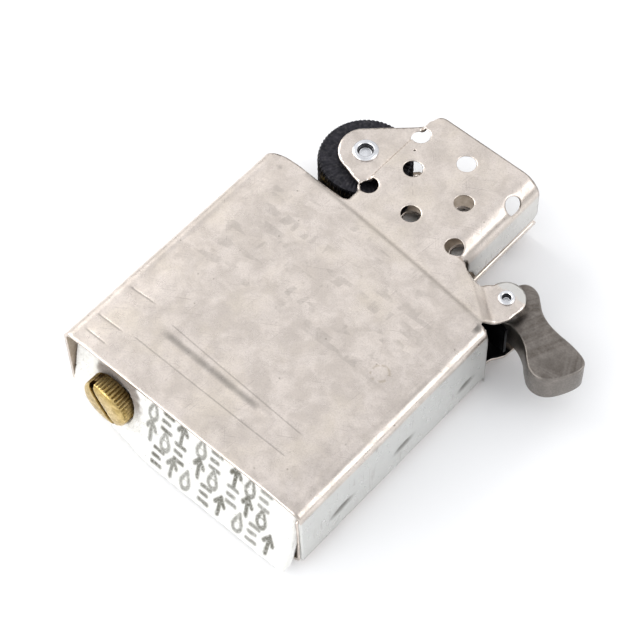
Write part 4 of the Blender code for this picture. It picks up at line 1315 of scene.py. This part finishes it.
def felt_print(x, height):
    """Worn rows of plain signs on the felt's right part; height runs from its back to its front edge."""
    ink = np.zeros_like(x)
    signs = (bars_sign, arrow_sign, drop_sign)
    for row, (foot, start, lean) in enumerate(((1.0, -3.4, 0.05), (4.2, -4.6, -0.03), (7.3, -5.0, 0.02))):
        for column in range(8):
            gap = 0.7 * (column > 2) + 0.7 * (column > 4)
            left = start + column * 2.2 + gap
            local_x = (x - left - height * lean) / 1.75
            local_y = (height - foot - 0.15 * math.sin(column * 2.1 + row)) / 3.1
            cell = (local_x > -0.2) & (local_x < 1.2) & (local_y > -0.2) & (local_y < 1.2)
            sign = signs[(column + row) % 3](local_x, local_y)
            strength = 0.88 + 0.12 * math.cos(column * 1.7 + row * 2.0)
            ink = np.maximum(ink, np.where(cell, sign, 0.0) * strength)
    return ink


def build_felt(material):
    """The whole felt pad with its print, stain, hole and loose fibres."""
    low, _ = box_mm("felt_anchor")
    _, high = box_mm("felt_flap")
    depth_low, depth_high = box_mm("felt_flap")[0].z, box_mm("felt_flap")[1].z
    face_steps = 66
    low.x -= 0.16
    columns = spaced(low.x, high.x, 0.17)
    points = []
    ink_places = []
    round_off = 0.35
    for x in columns:
        near_end = min(x - low.x, high.x - x)
        close = math.sqrt(max(0.0, 1 - (1 - min(near_end / (0.3 if x < TUBE_X else 0.9), 1.0)) ** 2))
        pull = (1 - close) * (0.15 if x < TUBE_X else 0.55)
        trim = 1.6 * smooth((x - (high.x - 0.9)) / 0.9)
        foot = depth_low + pull
        top = depth_high - pull
        back = felt_outer(x, False) + pull
        ahead = felt_outer(x, True) + pull
        inner = max(FELT_THICKNESS - trim - 2 * pull, 0.8)
        corners = ((back, foot), (ahead, top), (ahead + inner, top), (back + inner, foot))
        section = []
        for step in range(face_steps + 1):
            share = step / face_steps
            edge = min(share, 1 - share) * (top - foot)
            ease = round_off * (1 - math.sqrt(max(0.0, 1 - (1 - min(edge / round_off, 1.0)) ** 2)))
            out = corners[0][0] + (corners[1][0] - corners[0][0]) * share + ease
            section.append((out, foot + (top - foot) * share))
            ink_places.append((x, share * math.dist(corners[0], corners[1]), True))
        for step in range(1, 6):
            share = step / 6
            section.append((ahead + round_off + (inner - round_off) * share, top))
            ink_places.append((x, 0.0, False))
        for step in range(12):
            share = step / 12
            section.append((ahead + inner + (back - ahead) * share, top + (foot - top) * share))
            ink_places.append((x, 0.0, False))
        for step in range(6):
            share = step / 6
            section.append((back + inner + (round_off - inner) * share, foot))
            ink_places.append((x, 0.0, False))
        points += [(x, y, z) for y, z in section]
    count = face_steps + 1 + 5 + 12 + 6
    faces = []
    for column in range(len(columns) - 1):
        for i in range(count):
            j = (i + 1) % count
            here = column * count
            after = here + count
            faces.append((here + i, here + j, after + j, after + i))
    faces.append(tuple(range(count - 1, -1, -1)))
    last = (len(columns) - 1) * count
    faces.append(tuple(range(last, last + count)))
    ink_places = np.array(ink_places, float)
    ink = felt_print(ink_places[:, 0], ink_places[:, 1]) * ink_places[:, 2]
    felt = mesh_object("felt_pad", points, faces, [material], {"ink": ink}, 60.0)
    closed_up(felt)
    cutters = []
    screw_base = box_mm("flint_screw")[0].y + SCREW_HEAD_DEPTH
    holes = ((TUBE_RADIUS + 0.12, screw_base - 0.3, -9.0), (3.42, -25.0, screw_base + 0.12))
    for radius, start, end in holes:
        profile = ((0.0, start), (radius, start), (radius, end), (0.0, end))
        hole_points, hole_faces = turned(profile, 48, along_y(TUBE_X, MIDDLE))
        cutter = closed_up(mesh_object("felt_cutter", hole_points, hole_faces, [], {}))
        cut_away(felt, cutter)
        cutters.append(cutter)
    apply_modifiers(felt)
    for cutter in cutters:
        bpy.data.objects.remove(cutter)
    add_felt_surface(felt)
    felt.data.shade_smooth()
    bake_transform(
        felt, "case", "flap", start=((FELT_SPLIT - 1.3) * MM, 0.0, MIDDLE * MM),
        end=((FELT_SPLIT + 1.3) * MM, 0.0, MIDDLE * MM))
    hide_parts("felt_anchor", "felt_flap")


def add_felt_surface(felt):
    """Roughen the felt, stain it by the screw and grow short loose fibres on it."""
    mesh = felt.data
    mesh.update()
    normals = [vertex.normal.copy() for vertex in mesh.vertices]
    painted_numbers = []
    for vertex, normal in zip(mesh.vertices, normals):
        point = vertex.co / MM
        lumps = noise.noise(point * 0.9) * 0.07 + noise.noise(point * 2.7) * 0.045
        lumps += noise.noise(point * 7.0) * 0.02
        vertex.co += normal * (lumps - 0.03) * MM
        away = math.hypot(point.x - TUBE_X - 0.5, point.z - MIDDLE - 0.8)
        ragged = noise.noise(point * 1.3) * 0.6
        ring = 1 - float(smooth((away + ragged - 3.5) / 1.0))
        painted_numbers.append(ring * float(smooth((point.z - MIDDLE + 1.0) / 3.0)) * 0.85)
    layer = mesh.attributes.new("stain_and_painted_light", "FLOAT", "POINT")
    layer.data.foreach_set("value", np.array(painted_numbers, np.float32))
    grow_fibres(felt, FIBRES, painted_numbers)


def grow_fibres(felt, number, painted_numbers):
    """Join thin three-sided fibres to the felt, rooted at chosen vertices."""
    mesh_data = bmesh.new()
    mesh_data.from_mesh(felt.data)
    stain_layer = mesh_data.verts.layers.float["stain_and_painted_light"]
    mesh_data.verts.index_update()
    roots = [(vertex.co.copy(), vertex.normal.copy(), vertex.index) for vertex in mesh_data.verts]
    roots = [root for root in roots if root[1].y < 0.3]
    for _ in range(number):
        place_at, normal, index = random_source.choice(roots)
        lean = Vector([random_source.uniform(-1, 1) for _ in range(3)])
        heading = (normal * 0.55 + lean).normalized()
        if heading.dot(normal) < 0.05:
            heading = (heading + normal * 0.6).normalized()
        curl = Vector([random_source.uniform(-0.6, 0.6) for _ in range(3)])
        length = random_source.uniform(0.15, 0.5) * MM
        side = heading.orthogonal().normalized()
        top = heading.cross(side)
        spot = place_at - normal * 0.02 * MM
        rings = []
        for step, width in enumerate((0.016, 0.014, 0.004)):
            centre = spot + (heading * step + curl * 0.25 * step * step) * length / 2
            ring = []
            for corner in range(3):
                angle = corner * 2 * math.pi / 3
                away = side * math.cos(angle) + top * math.sin(angle)
                ring.append(mesh_data.verts.new(centre + away * width * MM))
            for vertex in ring:
                vertex[stain_layer] = painted_numbers[index] * 0.8
            rings.append(ring)
        for here, after in zip(rings, rings[1:]):
            for i in range(3):
                j = (i + 1) % 3
                mesh_data.faces.new((here[i], here[j], after[j], after[i]))
        mesh_data.faces.new(rings[0][::-1])
        mesh_data.faces.new(rings[-1])
    mesh_data.to_mesh(felt.data)
    mesh_data.free()


FELT_SPLIT = box_mm("felt_flap")[0].x - 0.1


# Wick and packing ----------------------------------------------------------


def wick_route():
    """Middle line of the wick, smooth through its bends."""
    marks = (
        (1.8, 27.0), (1.8, 23.5), (1.8, 20.0), (1.8, 16.5), (2.1, 13.2), (3.1, 10.2), (5.0, 6.6), (6.9, 3.2),
        (7.6, 0.6), (7.2, -2.0), (5.2, -4.4), (1.4, -6.6), (-1.6, -8.6), (-3.0, -11.0))
    route = []
    for index in range(len(marks) - 1):
        four = [Vector(marks[min(max(index + shift, 0), len(marks) - 1)]) for shift in (-1, 0, 1, 2)]
        for step in range(12):
            bent = spline_point(four, step / 12)
            route.append(Vector((bent.x, bent.y, MIDDLE)))
    route.append(Vector((marks[-1][0], marks[-1][1], MIDDLE)))
    return route


def build_wick(cotton, copper):
    """Wick of twisted yarns with fine copper wires, frayed and charred at its tip."""
    route = wick_route()
    points = []
    faces = []
    painted_numbers = []
    wire_faces_from = None
    yarns = 7
    for strand in range(yarns + 3):
        wire = strand >= yarns
        reach = 1.17 if wire else (0.0 if strand == 0 else 0.78)
        thick = 0.07 if wire else 0.46
        begin = 2.1 * strand
        path = []
        radii = []
        for index, centre in enumerate(route):
            ahead = route[min(index + 1, len(route) - 1)]
            behind = route[max(index - 1, 0)]
            run = (ahead - behind).normalized()
            side = run.cross(Vector((0.0, 0.0, 1.0))).normalized()
            turn = begin + index * (0.3 if not wire else -0.36)
            if not wire and strand > 0:
                turn = 2 * math.pi * (strand - 1) / (yarns - 1) + index * 0.3
            path.append(centre + (side * math.cos(turn) + Vector((0.0, 0.0, 1.0)) * math.sin(turn)) * reach)
            fray = 1.0 if index > 3 else 0.72 + 0.09 * index
            radii.append(thick * fray * (1 + 0.1 * math.sin(index * 1.3 + strand)))
        if wire and wire_faces_from is None:
            wire_faces_from = len(faces)
        more_points, more_faces = tube_along(path, radii, 5 if wire else 9)
        painted_numbers += [float(smooth((point.y - 24.2) / 2.2)) * (0.0 if wire else 1.0) for point in more_points]
        add_part(points, faces, more_points, more_faces)
    wick = mesh_object("twisted_wick", points, faces, [cotton, copper], {"stain_and_painted_light": painted_numbers}, 60.0)
    for polygon in wick.data.polygons[wire_faces_from:]:
        polygon.material_index = 1
    return place(wick, "case", "cotton_white", "wick")


def build_wad(number, material):
    """One loose wad of packing fibre."""
    node = "packing_wad_%d" % number
    low, high = box_mm(node)
    centre = (low + high) / 2
    reach = (high - low) / 2
    mesh_data = bmesh.new()
    bmesh.ops.create_icosphere(mesh_data, subdivisions=5, radius=1.0)
    for vertex in mesh_data.verts:
        where = vertex.co * 2.1 + Vector((number * 3.7, 0.0, 0.0))
        lumps = noise.noise(where) * 0.12 + noise.noise(where * 2.7) * 0.07 + noise.noise(where * 7.0) * 0.03
        scale = 0.9 + min(lumps, 0.095)
        vertex.co = Vector([centre[i] + vertex.co[i] * reach[i] * scale for i in range(3)]) * MM
    mesh = bpy.data.meshes.new("fibre_wad_%d" % number)
    mesh_data.to_mesh(mesh)
    mesh_data.free()
    mesh.shade_smooth()
    mesh.materials.append(material)
    wad = bpy.data.objects.new("fibre_wad_%d" % number, mesh)
    bpy.context.scene.collection.objects.link(wad)
    return place(wad, "case", "cotton_white", node)


def dress(node, material, bevel=0.0, smooth_angle=30.0):
    """Give a CAD node its finish, and soften its edges."""
    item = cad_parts[node]
    item.data.materials.clear()
    item.data.materials.append(material)
    if bevel > 0.0:
        soften_edges(item, bevel, 3, smooth_angle).harden_normals = True


# Stage -------------------------------------------------------------------


def build_stage():
    """Pale floor, soft studio light and the camera."""
    size = 900.0 * MM
    mesh = bpy.data.meshes.new("floor")
    corners = [(-size, -size, 0.0), (size, -size, 0.0), (size, size, 0.0), (-size, size, 0.0)]
    mesh.from_pydata(corners, [], [(0, 1, 2, 3)])
    mesh.materials.append(make_floor_material())
    floor = bpy.data.objects.new("floor", mesh)
    bpy.context.scene.collection.objects.link(floor)
    floor.location.z = SHELL_LOW.z * MM - 0.00002

    world = bpy.data.worlds.new("studio")
    bpy.context.scene.world = world
    world.use_nodes = True
    tree = world.node_tree
    background = tree.nodes["Background"]
    direction = tree.nodes.new("ShaderNodeTexCoord").outputs["Generated"]
    split = tree.nodes.new("ShaderNodeSeparateXYZ")
    tree.links.new(direction, split.inputs[0])
    ramp = tree.nodes.new("ShaderNodeValToRGB")
    tree.links.new(split.outputs["Z"], ramp.inputs[0])
    stops = ((0.0, (0.10, 0.085, 0.07)), (0.06, (0.26, 0.23, 0.20)), (0.14, (0.92, 0.92, 0.93)),
             (0.5, (1.0, 1.0, 1.0)), (0.8, (0.98, 0.985, 1.0)), (1.0, (0.72, 0.73, 0.76)))
    while len(ramp.color_ramp.elements) < len(stops):
        ramp.color_ramp.elements.new(0.5)
    for element, (position, colour) in zip(ramp.color_ramp.elements, stops):
        element.position = position
        element.color = (*colour, 1.0)
    tree.links.new(ramp.outputs[0], background.inputs["Color"])
    background.inputs["Strength"].default_value = 1.02

    def softbox(name, place_at, aim, width, height, power, colour=(1.0, 1.0, 1.0)):
        light = bpy.data.lights.new(name, "AREA")
        light.shape = "RECTANGLE"
        light.size = width
        light.size_y = height
        light.energy = power
        light.color = colour
        item = bpy.data.objects.new(name, light)
        item.location = place_at
        item.rotation_euler = (Vector(aim) - Vector(place_at)).to_track_quat("-Z", "Y").to_euler()
        bpy.context.scene.collection.objects.link(item)

    softbox("key", (-0.60, -0.12, 0.40), (0.0, 0.0, 0.0), 0.55, 0.45, 2.4, (1.0, 0.985, 0.96))
    softbox("fill", (-0.18, -0.62, 0.30), (0.0, 0.0, 0.0), 0.50, 0.30, 1.5, (1.0, 0.995, 0.98))
    softbox("side", (0.50, 0.25, 0.34), (0.0, 0.0, 0.0), 0.35, 0.40, 0.9, (0.97, 0.985, 1.0))

    camera_data = bpy.data.cameras.new("camera")
    camera_data.sensor_width = 36.0
    camera_data.lens = CAMERA_LENS
    camera_data.clip_start = 0.01
    camera_data.clip_end = 10.0
    camera = bpy.data.objects.new("camera", camera_data)
    azimuth = math.radians(CAMERA_AZIMUTH)
    elevation = math.radians(CAMERA_ELEVATION)
    roll = math.radians(CAMERA_ROLL)
    level = math.cos(elevation)
    back = Vector((math.sin(azimuth) * level, -math.cos(azimuth) * level, math.sin(elevation)))
    right = (-back).cross(Vector((0.0, 0.0, 1.0))).normalized()
    up = right.cross(-back)
    rolled_right = right * math.cos(roll) + up * math.sin(roll)
    rolled_up = up * math.cos(roll) - right * math.sin(roll)
    axes = Matrix((rolled_right, rolled_up, back)).transposed().to_4x4()
    camera.matrix_world = Matrix.Translation((CAMERA_TARGET + back * CAMERA_DISTANCE) * MM) @ axes
    bpy.context.scene.collection.objects.link(camera)
    bpy.context.scene.camera = camera
    bpy.context.scene.view_settings.view_transform = "Standard"


build_stage()

shell_metal = make_shell_material()
inside_metal = make_inside_material()
# Its near-black stain colour is painted shade in the rivets' bores.
zinc = make_metal(
    "zinc_rivet", (0.76, 0.77, 0.80), (0.88, 0.89, 0.92), 0.24, grain=1.2, stain_and_painted_light=(0.05, 0.05, 0.055))
# Its light stain colour is painted light on the cam's sides and edges.
cam_metal = make_metal(
    "cam_steel", (0.150, 0.131, 0.115), (0.238, 0.212, 0.190), 0.36, grain=0.22, stain_and_painted_light=(0.62, 0.59, 0.56))
blued_metal = make_metal("blued_spring", (0.010, 0.010, 0.012), (0.030, 0.030, 0.034), 0.36)
spring_metal = make_metal("spring_strip", (0.36, 0.35, 0.35), (0.58, 0.57, 0.56), 0.28)
# Painted shade: the top plate gets a dark copy of the steel's colour, for the shade inside the can.
plate_metal = make_metal("plate_sheet", (0.10, 0.09, 0.08), (0.24, 0.21, 0.18), 0.45)
brass = make_metal("aged_brass", (0.50, 0.36, 0.13), (0.80, 0.62, 0.30), 0.27, stain_and_painted_light=(0.045, 0.022, 0.008))
bright_brass = make_metal("tube_brass", (0.72, 0.50, 0.16), (0.90, 0.68, 0.30), 0.25)
flint_stone = make_metal("flint_alloy", (0.10, 0.095, 0.09), (0.22, 0.21, 0.20), 0.55)
copper = make_metal("copper_wire", (0.48, 0.22, 0.12), (0.72, 0.38, 0.24), 0.35)
wheel_black = make_wheel_material()
felt_white = make_felt_material()
cotton_white = make_cotton_material()

build_shell(shell_metal, inside_metal)
build_wheel(wheel_black)
build_rivet("rolled_wheel_rivet", "wheel_rivet", 0.95, 1.6, EAR_DEPTH, zinc)
build_rivet("rolled_cam_rivet", "cam_rivet", 0.5, 1.0, CAM_EAR_DEPTH, zinc)
build_screw(brass)
build_tube(bright_brass)
build_felt(felt_white)
build_wick(cotton_white, copper)
for wad_number in range(1, 7):
    build_wad(wad_number, cotton_white)
dress("top_plate", plate_metal, 0.05)
build_cam(cam_metal)
dress("cam_spring", blued_metal, 0.05)
dress("cam_spring_rivet", zinc, 0.0)
dress("flint", flint_stone, 0.06, 50.0)
dress("spring_tip", bright_brass, 0.0)
build_coil(spring_metal)
